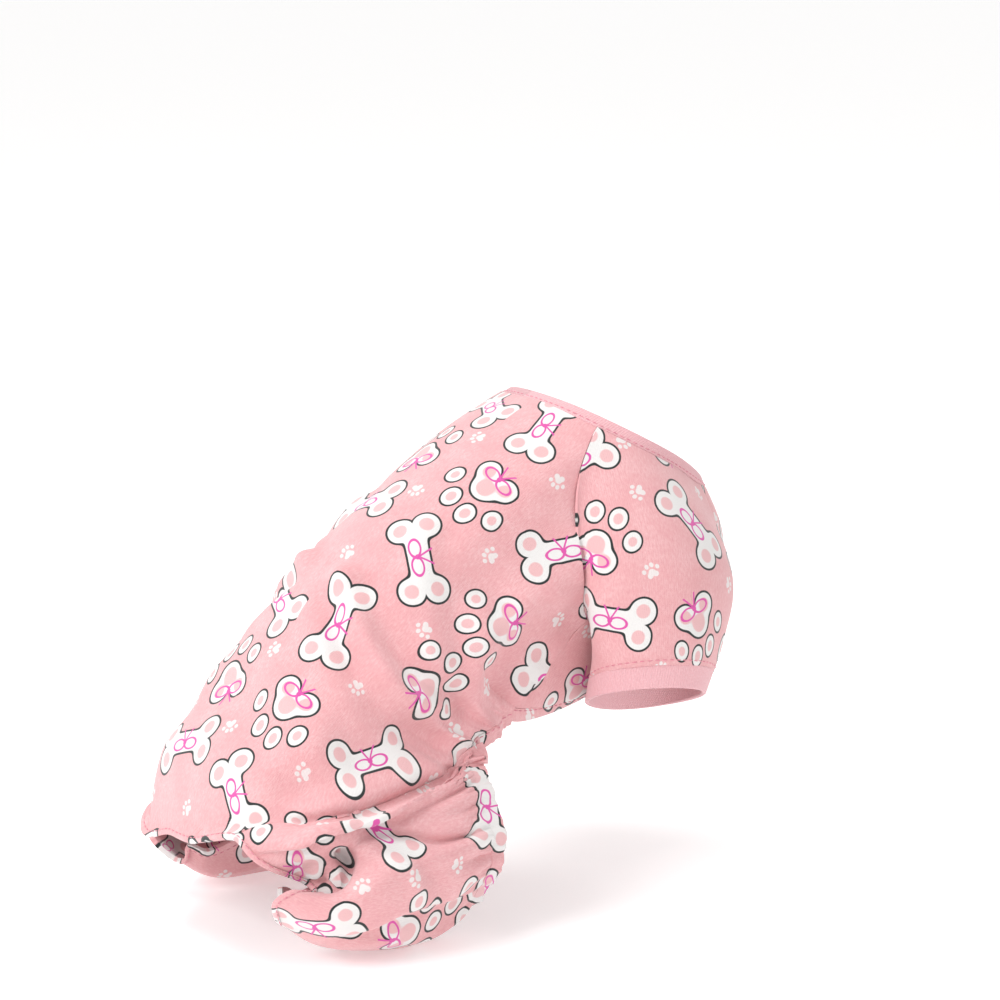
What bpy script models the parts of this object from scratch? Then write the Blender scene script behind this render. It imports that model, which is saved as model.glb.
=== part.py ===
"""Four-legged pet jumpsuit in cotton jersey, in its worn, sitting shape.

Metres, +Z up. The front faces +X, so the garment's right side is at -Y. The origin is the middle of the
back at the rear edge of the neck opening, where the jumpsuit sits on the withers.
Each panel is an open lofted surface, the outer face of the cloth, given its thickness by Solidify.
Surfaces are worked out for the right side and mirrored for the left.
"""

import math

import bpy
import numpy as np

# Driving dimensions, in metres
BODY_RUN = 0.200
WITHERS_HEIGHT = 0.200      # origin above the floor
CHEST_HALF_WIDTH = 0.048
THIGH_HALF_WIDTH = 0.080
SLEEVE_LENGTH = 0.066       # down the middle, from the shoulder ring to the hem
SLEEVE_RADIUS = 0.0245      # at the hem

# Cloth
JERSEY = 0.0012
BAND_THICKNESS = 0.0019
CASING_THICKNESS = 0.0022
NECK_BAND_WIDTH = 0.005
SLEEVE_BAND_WIDTH = 0.010
CASING_WIDTH = 0.0060
SEAM_GAP = 0.0004           # between one piece's edge and the next
RAGLAN_GAP = 0.0007         # between a sleeve and the body
CUFF_GAP = 0.0019           # between a hind leg's gathered edge and its cuff
SEAT_GAP = 0.0013           # between the seat's folded edge and its hem
CUFF_LEAN = 0.6             # how much a cuff turns forward, as against the leg's own direction

# Gathers that the casings draw up: how many, how deep, and how far they reach into the cloth
LEG_GATHERS = 8
LEG_GATHER_DEPTH = 0.0017
LEG_GATHER_REACH = 0.016
FLANK_GATHERS = 4
FLANK_GATHER_DEPTH = 0.0014
FLANK_GATHER_REACH = 0.018
SEAT_GATHERS = 9
SEAT_GATHER_DEPTH = 0.0009
SEAT_GATHER_REACH = 0.010

FOLDED_HEM_WIDTH = 0.0018   # of the seat's hem where it follows the folds of a hind leg

# The deep fold in which each hind leg meets the back panel
HIP_FOLD_DEPTH = 0.0028
HIP_FOLD_HALF_WIDTH = 0.0055

# The left side of the seat hangs lower and closer in, by these shares of its height above the lowest
# cloth, of its distance behind the origin, and of its distance from the middle plane
LEFT_DROP = 0.24
LEFT_AHEAD = 0.06
LEFT_IN = 0.14

# Grid sizes
RAGLAN_ROWS = 9             # along a raglan seam, which the body and the sleeve share
SIDE_ROWS = 5               # along a side seam, which the back and the belly share
FLANK_ROWS = 7              # along the free edge between belly and hind leg
LEG_ROWS = 13               # along the seam that the back and a hind leg share
BACK_COLUMNS = 12           # each side of the middle
BELLY_COLUMNS = 7
SLEEVE_ROWS = 9
SLEEVE_NECK_COLUMNS = 9
LEG_COLUMNS = 36
NECK_COLUMNS = 25
HEM_ROWS = 2
SECTION_SAMPLES = 31
DENSE = 61

# Where panels meet, as stations of TORSO counted from the neck
UNDERARM = 3.0
BELLY_END_SIDE = 4.3
BELLY_END_MIDDLE = 4.0
LEG_START = 5.5
TAIL = 9.0

# Sections of the body from the neck back to the tail hem, as shares: x of BODY_RUN ahead of the origin,
# y of CHEST_HALF_WIDTH, z of WITHERS_HEIGHT. back is the middle of the back, side the widest place, seam
# the side seam or the line where a hind leg begins, belly the middle of the chest and belly.
TORSO_COLUMNS = ("back_x", "back_z", "side_x", "side_y", "side_z", "seam_x", "seam_y", "seam_z",
                 "belly_x", "belly_z")
TORSO = (
    (0.00, 1.00, 0.12, 0.86, 0.93, 0.23, 0.79, 0.87, 0.36, 0.79),      # neck opening
    (-0.08, 0.97, 0.07, 0.96, 0.85, 0.18, 0.96, 0.77, 0.42, 0.67),     # shoulders
    (-0.175, 0.925, -0.03, 1.00, 0.78, 0.09, 1.00, 0.68, 0.41, 0.53),  # chest
    (-0.29, 0.855, -0.14, 0.98, 0.69, -0.015, 0.92, 0.575, 0.29, 0.43),  # underarm
    (-0.41, 0.775, -0.26, 0.96, 0.58, -0.15, 0.86, 0.44, 0.15, 0.385),  # waist
    (-0.52, 0.67, -0.38, 0.98, 0.50, -0.25, 0.88, 0.385, 0.00, 0.38),   # flank
    (-0.625, 0.55, -0.49, 1.04, 0.43, -0.365, 1.10, 0.335, -0.1, 0.34),   # hip
    (-0.73, 0.42, -0.63, 1.13, 0.37, -0.545, 1.27, 0.305, -0.2, 0.30),   # thigh
    (-0.80, 0.30, -0.745, 0.93, 0.31, -0.68, 1.18, 0.288, -0.3, 0.25),    # rump
    (-0.825, 0.22, -0.82, 0.52, 0.24, -0.795, 0.88, 0.265, -0.4, 0.20),    # tail hem
)

# Rings of a sleeve from the shoulder down to its hem. ahead is from the origin, in shares of BODY_RUN, out
# from the middle plane, in shares of CHEST_HALF_WIDTH, down in shares of SLEEVE_LENGTH. high and wide are
# its radii in shares of SLEEVE_RADIUS. lift turns the ring's outer side up and tip its front down, in
# degrees.
SLEEVE_COLUMN_NAMES = ("ahead", "out", "down", "high", "wide", "lift", "tip")
SLEEVE = (
    (0.150, 0.90, 0.00, 1.42, 1.33, 82.0, 0.0),
    (0.140, 1.14, 0.42, 1.22, 1.38, 60.0, 3.0),
    (0.118, 1.15, 0.73, 1.04, 1.18, 36.0, 7.0),
    (0.095, 1.10, 1.03, 1.00, 1.02, 22.0, 9.0),
)
SHOULDER_DROP = 0.050       # of the shoulder ring's centre below the origin
SHOULDER = (0.15, 1.25, 0.75)    # a place on the sleeve's outer face, in shares of the body's sizes
NECK_TURN_REAR = -0.14      # in half turns from the sleeve's upper side, the neck band's two ends
NECK_TURN_FRONT = 0.38
UNDERARM_TURN = -0.82

# Sections of a hind leg from its front opening back to the seat, as shares of BODY_RUN, THIGH_HALF_WIDTH
# and WITHERS_HEIGHT. From its line with the back panel, at station, the cloth runs over a ridge and a fold
# on the outside of the thigh, bulges low, turns under along the floor, and comes up inside to the crotch hem.
LEG_PLACES = ("ridge", "fold", "bulge", "floor", "under", "inner", "hem")
LEG = (
    (5.5, (-0.314, 0.64, 0.337), (-0.317, 0.75, 0.296), (-0.320, 0.90, 0.185), (-0.350, 0.80, 0.075),
     (-0.370, 0.575, 0.015), (-0.300, 0.43, 0.15), (-0.310, 0.50, 0.335)),
    (6.2, (-0.427, 0.78, 0.315), (-0.443, 0.82, 0.278), (-0.455, 1.00, 0.185), (-0.446, 0.85, 0.035),
     (-0.490, 0.64, 0.015), (-0.460, 0.47, 0.07), (-0.440, 0.46, 0.20)),
    (7.0, (-0.565, 0.89, 0.292), (-0.565, 0.84, 0.262), (-0.585, 1.05, 0.18), (-0.540, 0.92, 0.045),
     (-0.600, 0.70, 0.020), (-0.580, 0.56, 0.04), (-0.550, 0.475, 0.125)),
    (8.1, (-0.706, 0.85, 0.268), (-0.652, 0.82, 0.200), (-0.680, 0.99, 0.155), (-0.670, 0.92, 0.075),
     (-0.675, 0.74, 0.045), (-0.665, 0.62, 0.05), (-0.660, 0.525, 0.10)),
    (9.0, (-0.783, 0.68, 0.220), (-0.674, 0.74, 0.160), (-0.740, 0.865, 0.172), (-0.775, 0.83, 0.150),
     (-0.745, 0.72, 0.095), (-0.720, 0.63, 0.09), (-0.710, 0.575, 0.13)),
)

# Soft folds in the back panel's side, each from one place to another as station and share across
BACK_FOLDS = (
    ("armpit to haunch", 3.2, 0.93, 6.4, 0.62, 0.0022, 0.010),
    ("flank to seat", 5.3, 0.90, 7.6, 0.66, 0.0020, 0.009),
    ("shoulder to side", 1.6, 0.62, 3.6, 0.56, 0.0012, 0.010),
)


def spline(points, at):
    """Points on a Catmull-Rom curve through rows of points, at row numbers."""
    points = np.asarray(points, float)
    at = np.clip(np.asarray(at, float), 0.0, len(points) - 1.0)
    padded = np.concatenate([[2 * points[0] - points[1]], points, [2 * points[-1] - points[-2]]])
    first = np.minimum(at.astype(int), len(points) - 2)
    t = (at - first).reshape(at.shape + (1,) * (points.ndim - 1))
    p0, p1, p2, p3 = (padded[first + k] for k in range(4))
    return 0.5 * (2 * p1 + (p2 - p0) * t + (2 * p0 - 5 * p1 + 4 * p2 - p3) * t**2
                  + (3 * p1 - p0 - 3 * p2 + p3) * t**3)


def smooth_step(value, start, stop):
    share = np.clip((np.asarray(value) - start) / (stop - start), 0, 1)
    return share * share * (3 - 2 * share)


def unit(vectors):
    return vectors / np.maximum(np.linalg.norm(vectors, axis=-1, keepdims=True), 1e-9)


def place(x, y, z, half_width=CHEST_HALF_WIDTH):
    """A point on the right side from shares of the named sizes."""
    return (x * BODY_RUN, -y * half_width, (z - 1.0) * WITHERS_HEIGHT)


def left(points):
    """The left side's counterpart of points on the right."""
    x, y, z = points[..., 0], -points[..., 1], points[..., 2]
    height = z + WITHERS_HEIGHT
    seat = smooth_step(-x, 0.45 * BODY_RUN, 0.75 * BODY_RUN)
    low = seat * (1 - smooth_step(height, 0.20 * WITHERS_HEIGHT, 0.36 * WITHERS_HEIGHT))
    low = low * smooth_step(y, 0, 0.6 * CHEST_HALF_WIDTH)
    wide = seat * smooth_step(y, 0.5 * CHEST_HALF_WIDTH, 1.2 * CHEST_HALF_WIDTH)
    return np.stack([x * (1 - LEFT_AHEAD * wide), y * (1 - LEFT_IN * wide),
                     height * (1 - LEFT_DROP * low) - WITHERS_HEIGHT], -1)


def half_section(back, side, seam, belly, on_leg):
    """Half a body section from the middle of the back over the seam to the middle of the belly, the first
    half of its samples above the seam. Extra points keep its ends square to the middle plane. Where a hind
    leg takes over at the seam, the section runs straight on."""
    back, side, seam, belly = (np.array(p) for p in (back, side, seam, belly))
    crown = back + 0.22 * (side - back) * (1, 0, 1) + 0.62 * (side - back) * (0, 1, 0)
    keel = belly + 0.25 * (seam - belly) * (1, 0, 1) + 0.62 * (seam - belly) * (0, 1, 0)
    rail = [crown * (1, -1, 1), back, crown, side, seam, keel, belly, keel * (1, -1, 1)]
    above = rail[:5] + [2 * seam - side if on_leg else keel]
    upper = spline(above, np.linspace(1, 4, SECTION_SAMPLES))
    lower = spline(rail, np.linspace(4, 6, SECTION_SAMPLES))
    return np.concatenate([upper, lower[1:]])


def torso_sections():
    found = []
    for station, row in enumerate(TORSO):
        r = dict(zip(TORSO_COLUMNS, row))
        found.append(half_section(place(r["back_x"], 0, r["back_z"]),
                                  place(r["side_x"], r["side_y"], r["side_z"]),
                                  place(r["seam_x"], r["seam_y"], r["seam_z"]),
                                  place(r["belly_x"], 0, r["belly_z"]), station > LEG_START))
    return np.array(found)


SECTIONS = torso_sections()


def torso(station, across):
    """Points of the body's right half. across runs from 0, mid back, over 1, the seam, to 2, mid belly."""
    station, across = np.broadcast_arrays(np.asarray(station, float), np.asarray(across, float))
    rows = spline(SECTIONS, station.ravel())
    at = across.ravel() * (SECTION_SAMPLES - 1)
    first = np.minimum(at.astype(int), rows.shape[1] - 2)
    part = (at - first)[:, None]
    pick = np.arange(len(at))
    return (rows[pick, first] * (1 - part) + rows[pick, first + 1] * part).reshape(station.shape + (3,))


def below_neck(across, distance=NECK_BAND_WIDTH + SEAM_GAP):
    """Stations that lie at a distance from the neck opening's edge."""
    stations = np.linspace(0, 2, DENSE)
    found = []
    for share in np.atleast_1d(across):
        steps = np.linalg.norm(np.diff(torso(stations, share), axis=0), axis=1)
        found.append(np.interp(distance, np.concatenate([[0], np.cumsum(steps)]), stations))
    return np.array(found)


def back_raglan(station):
    """Where the back panel ends at the sleeve, as a share across."""
    return 0.46 + 0.54 * np.clip(np.asarray(station) / UNDERARM, 0, 1) ** 3.0


def front_raglan(station):
    """Where the belly panel ends at the sleeve."""
    share = np.clip(np.asarray(station) / UNDERARM, 0, 1)
    return 1.35 - 0.35 * share**2.2


def normals(grid):
    """Unit vectors square to a grid of points."""
    return unit(np.cross(np.gradient(grid, axis=0), np.gradient(grid, axis=1)))


def distance_to(points, line):
    """Distance of each point from the nearest of a line's points."""
    gaps = points[..., None, :] - line
    return np.sqrt((gaps**2).sum(-1)).min(-1)


def fold(points, line, depth, half_width):
    """How far the cloth is lifted at each point near a fold along a line. It is sunk in the fold."""
    return -depth * np.exp(-(distance_to(points, line) / half_width) ** 2)


def hip_line():
    return torso(np.linspace(LEG_START + 0.35, TAIL - 0.9, 40), 1.0)


def seam_clearance(own, other, away):
    """How far a panel's edge stays off its neighbour's, from both panels' normals and the way into the
    panel: more where the seam is a ridge, since both cloths thicken inward."""
    spread = ((own - other) * away).sum(-1)
    return SEAM_GAP + 2 * JERSEY * np.maximum(spread, 0)


def row_stations(start, *stops):
    """Stations of a panel's rows from each column's start through stops, each a station and a row count.
    Panels that meet have the same rows along their seam."""
    rows, last = [np.asarray(start)[None, :]], np.asarray(start)[None, :]
    for stop, count in stops:
        share = np.linspace(0, 1, count)[1:, None]
        rows.append(last + (stop - last) * share)
        last = rows[-1][-1:]
    return np.concatenate(rows)


def back_half_points():
    """The back panel's right half, from the middle of the back out to its edge."""
    columns = np.linspace(0, 1, BACK_COLUMNS)[None, :]
    start = below_neck(columns[0] * back_raglan(0.0))
    stations = row_stations(start, (UNDERARM, RAGLAN_ROWS), (BELLY_END_SIDE, SIDE_ROWS),
                            (LEG_START, FLANK_ROWS), (TAIL, LEG_ROWS))
    across = np.where(stations < UNDERARM, back_raglan(stations), 1.0) * columns
    points = torso(stations, across)
    lift = fold(points, hip_line(), HIP_FOLD_DEPTH, HIP_FOLD_HALF_WIDTH)
    for _, from_station, from_across, to_station, to_across, depth, half_width in BACK_FOLDS:
        share = np.linspace(0, 1, 30)
        line = torso(from_station + (to_station - from_station) * share,
                     from_across + (to_across - from_across) * share)
        lift = lift + fold(points, line, depth, half_width)
    edge = torso(np.linspace(BELLY_END_SIDE, LEG_START, 30), 1.0)
    turns = (stations - BELLY_END_SIDE) / (LEG_START - BELLY_END_SIDE) * FLANK_GATHERS
    near = np.exp(-(distance_to(points, edge) / FLANK_GATHER_REACH) ** 1.5)
    lift = lift + FLANK_GATHER_DEPTH * near * np.sin(2 * math.pi * turns)
    seat = np.exp(-(distance_to(points, torso(TAIL, np.linspace(0, 1, 30))) / SEAT_GATHER_REACH) ** 1.5)
    lift = lift + SEAT_GATHER_DEPTH * seat * np.cos(2 * math.pi * across * SEAT_GATHERS / 2)
    return points + normals(points) * lift[..., None]


def belly_half_points():
    """The belly panel's right half, from the middle of the belly out to its edge."""
    columns = np.linspace(0, 1, BELLY_COLUMNS)[None, :]
    end = BELLY_END_MIDDLE + (BELLY_END_SIDE - BELLY_END_MIDDLE) * columns
    start = below_neck((2 - (2 - front_raglan(0.0)) * columns)[0])
    stations = row_stations(start, (UNDERARM, RAGLAN_ROWS), (end, SIDE_ROWS))
    side = np.where(stations < UNDERARM, front_raglan(stations), 1.0)
    points = torso(stations, 2 - (2 - side) * columns)
    points[:, -1] += unit(points[:, -2] - points[:, -1]) * SEAM_GAP
    return points


def sleeve_ring(row, around):
    """Points of one ring of the sleeve. around is 0 at its outer or upper side."""
    r = dict(zip(SLEEVE_COLUMN_NAMES, row))
    centre = np.array((r["ahead"] * BODY_RUN, -r["out"] * CHEST_HALF_WIDTH,
                       -SHOULDER_DROP - r["down"] * SLEEVE_LENGTH))
    lift = math.radians(r["lift"])
    outward = np.array((0.0, -math.cos(lift), math.sin(lift))) * r["high"] * SLEEVE_RADIUS
    tip = math.radians(r["tip"])
    forward = np.array((math.cos(tip), 0.0, -math.sin(tip))) * r["wide"] * SLEEVE_RADIUS
    return centre + np.outer(np.cos(around), outward) + np.outer(np.sin(around), forward)


def armhole():
    """Where the sleeve meets the body, as stations, shares across and turns around the sleeve: along the
    neck band, then down the front raglan seam to the underarm, and up the back one."""
    back, front = back_raglan(0.0), front_raglan(0.0)
    across = [np.linspace(back, front, SLEEVE_NECK_COLUMNS)]
    stations = [below_neck(across[0])]
    turns = [np.linspace(NECK_TURN_REAR, NECK_TURN_FRONT, SLEEVE_NECK_COLUMNS)]
    share = np.linspace(0, 1, RAGLAN_ROWS)[1:]
    for edge, first_turn, last_turn, order in ((front_raglan, NECK_TURN_FRONT, UNDERARM_TURN + 2, 1),
                                               (back_raglan, NECK_TURN_REAR, UNDERARM_TURN, -1)):
        start = below_neck(edge(0.0))[0]
        found = start + (UNDERARM - start) * share
        turn = first_turn + (last_turn - first_turn) * share
        kept = slice(None) if order > 0 else slice(-2, None, -1)
        stations.append(found[kept])
        across.append(edge(found)[kept])
        turns.append(turn[kept])
    return np.concatenate(stations), np.concatenate(across), np.concatenate(turns) * math.pi


def sleeve_surface():
    """The sleeve and its band as one surface from the armhole down, closed around."""
    stations, across, around = armhole()
    rings = np.array([sleeve_ring(row, around) for row in SLEEVE])
    seam = torso(stations, across)
    along = unit(np.roll(seam, -1, axis=0) - np.roll(seam, 1, axis=0))
    shoulder = np.array(place(*SHOULDER))
    inward = shoulder - seam
    inward = unit(inward - (inward * along).sum(-1, keepdims=True) * along)
    seam = seam + RAGLAN_GAP * inward
    down = np.linspace(0, 1, DENSE)
    settle = ((1 - down) ** 2)[:, None, None]
    return spline(rings, down * (len(SLEEVE) - 1)) + settle * (seam - rings[0])


def strip(surface, start, stop, rows):
    """Rows of a surface between two distances from its first edge, or from its last if less than 0."""
    found = []
    for column, first in zip(surface.transpose(1, 0, 2), np.broadcast_to(start, surface.shape[1])):
        run = np.concatenate([[0], np.cumsum(np.linalg.norm(np.diff(column, axis=0), axis=1))])
        ends = [run[-1] + d if d < 0 else d for d in (first, stop)]
        at = np.linspace(ends[0], ends[1] if stop else run[-1], rows)
        found.append(np.stack([np.interp(at, run, column[:, axis]) for axis in range(3)], -1))
    return np.array(found).transpose(1, 0, 2)


def sleeve_points():
    return strip(sleeve_surface(), 0, -SLEEVE_BAND_WIDTH - SEAM_GAP, SLEEVE_ROWS)


def sleeve_band_points():
    return strip(sleeve_surface(), -SLEEVE_BAND_WIDTH, 0, 3)


def leg_surface():
    """A hind leg from its front opening to the seat, and from the back panel's edge to the crotch hem."""
    found = []
    for station, *places in LEG:
        rail = [torso(station, 0.72), torso(station, 1.0)]
        rail += [np.array(place(*shares, THIGH_HALF_WIDTH)) for shares in places]
        found.append(spline(rail, 1 + len(places) * np.linspace(0, 1, LEG_COLUMNS)))
    stations = np.linspace(LEG_START, TAIL, LEG_ROWS)
    rows = np.interp(stations, [row[0] for row in LEG], np.arange(len(LEG)))
    points = spline(np.array(found), rows)
    share = np.linspace(0, 1, LEG_COLUMNS)
    lift = fold(points, hip_line(), HIP_FOLD_DEPTH, HIP_FOLD_HALF_WIDTH)
    near = np.exp(-(distance_to(points, points[0]) / LEG_GATHER_REACH) ** 1.5)
    near = near * smooth_step(share, 0.04, 0.20) * smooth_step(-share, -1, -0.9)
    lift = lift + LEG_GATHER_DEPTH * near * np.cos(2 * math.pi * share * LEG_GATHERS)
    points = points + normals(points) * lift[..., None]
    seam = back_half_points()[-LEG_ROWS:, -1]
    settle = ((1 - share) ** 4)[None, :, None]
    return points + settle * (seam - points[:, 0])[:, None]


def leg_points():
    """The hind leg's panel, clear of the back panel."""
    points = leg_surface()
    away = unit(points[:, 1] - points[:, 0])
    back = normals(back_half_points())[-LEG_ROWS:, -1]
    points[:, 0] += away * seam_clearance(normals(points)[:, 0], back, away)[:, None]
    return points


def hem(path, away, width, gap=SEAM_GAP):
    """Rows of a strip that carries cloth on past its edge. path is that edge and away the way on from it,
    which is turned square to the path."""
    along = unit(np.gradient(path, axis=0))
    for _ in range(2):
        away = unit(away - (away * along).sum(-1, keepdims=True) * along)
        padded = np.pad(away, ((1, 1), (0, 0)), mode="edge")
        away = unit(padded[:-2] + 2 * padded[1:-1] + padded[2:])
    width = np.broadcast_to(np.asarray(width, float), len(path))[:, None]
    return np.array([path + away * (gap + width * share) for share in np.linspace(0, 1, HEM_ROWS)])


def hem_to_middle(path, away, width, gap=SEAM_GAP):
    """The right half of a strip whose path ends in the middle plane."""
    half = hem(path, away, width, gap)
    half[:, -1, 1] = 0
    return half


def neck_band_points():
    """The whole neck band, once around from the middle of the back over the right side."""
    across = np.linspace(0, 2, NECK_COLUMNS)
    distances = np.linspace(0, NECK_BAND_WIDTH, HEM_ROWS)
    right = np.array([torso(below_neck(across, distance), across) for distance in distances])
    return np.concatenate([right, left(right[:, -2:0:-1])], axis=1)


def belly_hem_half_points():
    """The right half of the hem behind the belly panel, from near the hind leg along the flank."""
    belly, back = belly_half_points(), back_half_points()
    last = RAGLAN_ROWS + SIDE_ROWS + FLANK_ROWS - 3
    flank = slice(last - 2, last - FLANK_ROWS + 1, -1)
    path = np.concatenate([back[flank, -1], belly[-1, ::-1]])
    away = np.concatenate([(back[:, -1] - back[:, -3])[flank], (belly[-1] - belly[-2])[::-1]])
    return hem_to_middle(path, away, CASING_WIDTH)


def leg_cuff_points():
    """The casing around a hind leg's front opening, closed around."""
    points = leg_points()
    around = np.arange(-2, LEG_COLUMNS + 2) % LEG_COLUMNS
    away = unit(points[0] - points[1]) + np.array((CUFF_LEAN, 0, 0))
    return hem(points[0, around], away[around], CASING_WIDTH, CUFF_GAP)[:, 2:-2]


def seat_hem_half_points():
    """The right half of the hem around the seat's opening: back along the crotch, up the rear of the leg
    and across to the middle of the tail. It is narrow where it follows the leg's folds."""
    leg, back = leg_points(), back_half_points()
    path = np.concatenate([leg[1:, -1], leg[-1, -2::-1], back[-1, -2::-1]])
    away = np.concatenate([unit(leg[1:, -1] - leg[1:, -2]), unit(leg[-1] - leg[-2])[-2::-1],
                           unit(back[-1] - back[-2])[-2::-1]])
    width = np.concatenate([np.full(len(leg) - 1, CASING_WIDTH * 0.7),
                            np.full(LEG_COLUMNS - 1, FOLDED_HEM_WIDTH),
                            np.full(BACK_COLUMNS - 1, CASING_WIDTH)])
    width = np.convolve(np.pad(width, 2, mode="edge"), np.ones(5) / 5, mode="valid")
    return hem_to_middle(path, away, width, SEAT_GAP)


def whole_hem(half):
    """Both halves of a hem whose right half ends in the middle plane."""
    return np.concatenate([half, left(half[:, -2::-1])], axis=1)


def both_sides(half):
    """A panel across the middle plane from its right half, whose columns start at the middle."""
    return np.concatenate([half[:, ::-1], left(half[:, 1:])], axis=1)


def material(name, colour, roughness):
    made = bpy.data.materials.new(name)
    made.use_nodes = True
    shader = made.node_tree.nodes["Principled BSDF"]
    shader.inputs["Base Color"].default_value = (*colour, 1.0)
    shader.inputs["Roughness"].default_value = roughness
    shader.inputs["Metallic"].default_value = 0.0
    return made


def cloth(name, grid, thickness, finish, closed=False, inside_out=False):
    """One panel from a grid of points on its outer face, closed around its columns if asked."""
    rows, columns = grid.shape[:2]
    faces = []
    for i in range(rows - 1):
        for j in range(columns if closed else columns - 1):
            k = (j + 1) % columns
            corners = [i * columns + j, (i + 1) * columns + j, (i + 1) * columns + k, i * columns + k]
            faces.append(corners[::-1] if inside_out else corners)
    mesh = bpy.data.meshes.new(name)
    mesh.from_pydata(grid.reshape(-1, 3).tolist(), [], faces)
    mesh.materials.append(finish)
    mesh.shade_smooth()
    piece = bpy.data.objects.new(name, mesh)
    jumpsuit.objects.link(piece)
    shell = piece.modifiers.new("Cloth thickness", "SOLIDIFY")
    shell.thickness = thickness
    shell.offset = -1.0
    shell.use_even_offset = False
    shell.use_rim = True
    return piece


for old in list(bpy.data.objects):
    bpy.data.objects.remove(old, do_unlink=True)
jumpsuit = bpy.data.collections.new("dog_jumpsuit")
bpy.context.scene.collection.children.link(jumpsuit)

jersey = material("printed_jersey", (0.80, 0.47, 0.48), 0.9)
rib = material("plain_band", (0.84, 0.44, 0.50), 0.85)

cloth("back_panel", both_sides(back_half_points()), JERSEY, jersey, inside_out=True)
cloth("belly_panel", both_sides(belly_half_points()), JERSEY, jersey)
cloth("neck_band", neck_band_points(), BAND_THICKNESS, rib, closed=True)
cloth("belly_hem", whole_hem(belly_hem_half_points()), CASING_THICKNESS, jersey)
cloth("seat_hem", whole_hem(seat_hem_half_points()), CASING_THICKNESS, jersey, inside_out=True)
for side, placed, turned in (("right", np.array, False), ("left", left, True)):
    cloth(f"sleeve_{side}", placed(sleeve_points()), JERSEY, jersey, closed=True, inside_out=turned)
    cloth(f"sleeve_band_{side}", placed(sleeve_band_points()), BAND_THICKNESS, rib, closed=True,
          inside_out=turned)
    cloth(f"hind_leg_{side}", placed(leg_points()), JERSEY, jersey, inside_out=turned)
    cloth(f"leg_cuff_{side}", placed(leg_cuff_points()), CASING_THICKNESS, jersey, closed=True,
          inside_out=not turned)
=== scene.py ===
# %% [markdown]
# # A jersey jumpsuit for a small pet, step by step
# The real object is pyjama wear cut from soft pink cotton jersey: a back panel, a belly panel, two raglan
# sleeves with plain bands, and two wide hind legs drawn up by elastic. Every piece here is a curved sheet of
# points worked out in Python and then given the thickness of cloth. Modelling by sculpting would also do,
# but numbers can be changed later, and the pieces keep to the measured frame that the script loads first.

# %% Load the measured frame
import math

import bpy
import numpy as np
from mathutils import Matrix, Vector


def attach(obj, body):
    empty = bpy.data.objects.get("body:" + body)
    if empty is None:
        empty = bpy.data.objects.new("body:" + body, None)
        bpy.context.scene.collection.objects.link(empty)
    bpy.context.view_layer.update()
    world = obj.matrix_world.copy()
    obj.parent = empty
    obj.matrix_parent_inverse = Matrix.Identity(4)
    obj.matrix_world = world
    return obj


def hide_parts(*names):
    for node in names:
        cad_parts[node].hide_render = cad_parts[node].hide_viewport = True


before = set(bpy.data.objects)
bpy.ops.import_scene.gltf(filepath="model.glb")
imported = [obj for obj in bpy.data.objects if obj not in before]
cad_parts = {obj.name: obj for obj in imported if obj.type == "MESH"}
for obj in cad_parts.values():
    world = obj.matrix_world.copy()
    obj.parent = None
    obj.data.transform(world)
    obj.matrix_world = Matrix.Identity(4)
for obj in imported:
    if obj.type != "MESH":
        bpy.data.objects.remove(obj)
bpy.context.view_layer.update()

print("frame pieces:", sorted(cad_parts))

# %% [markdown]
# ## Camera
# The jumpsuit is seen from behind its right side, a little from above. A long lens from far off keeps the
# shapes flat, as in a studio. The lens follows from how many pixels a millimetre takes at the garment.

# %% Camera
PICTURE_PIXELS = 1000
PIXELS_PER_MM = 2.5
CAMERA_DISTANCE = 1.5
CAMERA_TURN, CAMERA_RISE = math.radians(-32), math.radians(12)
LOOKED_AT = Vector((-0.016, 0.0, -0.043))
SENSOR_MM = 36.0

toward_camera = Vector((math.sin(CAMERA_TURN) * math.cos(CAMERA_RISE),
                        -math.cos(CAMERA_TURN) * math.cos(CAMERA_RISE), math.sin(CAMERA_RISE)))
camera_data = bpy.data.cameras.new("camera")
camera_data.sensor_width = SENSOR_MM
camera_data.lens = SENSOR_MM * CAMERA_DISTANCE * 1000 * PIXELS_PER_MM / PICTURE_PIXELS
camera = bpy.data.objects.new("camera", camera_data)
bpy.context.scene.collection.objects.link(camera)
camera.location = LOOKED_AT + toward_camera * CAMERA_DISTANCE
camera.rotation_mode = "QUATERNION"
camera.rotation_quaternion = (-toward_camera).to_track_quat("-Z", "Y")
bpy.context.scene.camera = camera
print("lens in mm:", camera_data.lens)

# %% [markdown]
# ## Floor and light
# The Standard view shows a surface's colours as they were mixed, which suits a pale product picture. A pale
# floor and three soft boxes give the even, bright light of a catalogue picture. Large lamps make soft
# shadows in the folds, and the pale surroundings fill them. The floor glows faintly of itself, because the
# lamps reach only its near part and it would turn grey farther off.

# %% Floor and light
FLOOR_HEIGHT = -0.200
FLOOR_SIZE = 24
FLOOR_COLOUR = (0.93, 0.93, 0.93)
FLOOR_GLOW = 0.30
SURROUNDING_COLOUR = (1.0, 0.99, 0.985, 1)
SURROUNDING_STRENGTH = 0.72
bpy.context.scene.view_settings.view_transform = "Standard"


def plain_shader(name, colour, roughness):
    made = bpy.data.materials.new(name)
    made.use_nodes = True
    shader = made.node_tree.nodes["Principled BSDF"]
    shader.inputs["Base Color"].default_value = (*colour, 1)
    shader.inputs["Roughness"].default_value = roughness
    return made


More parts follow.
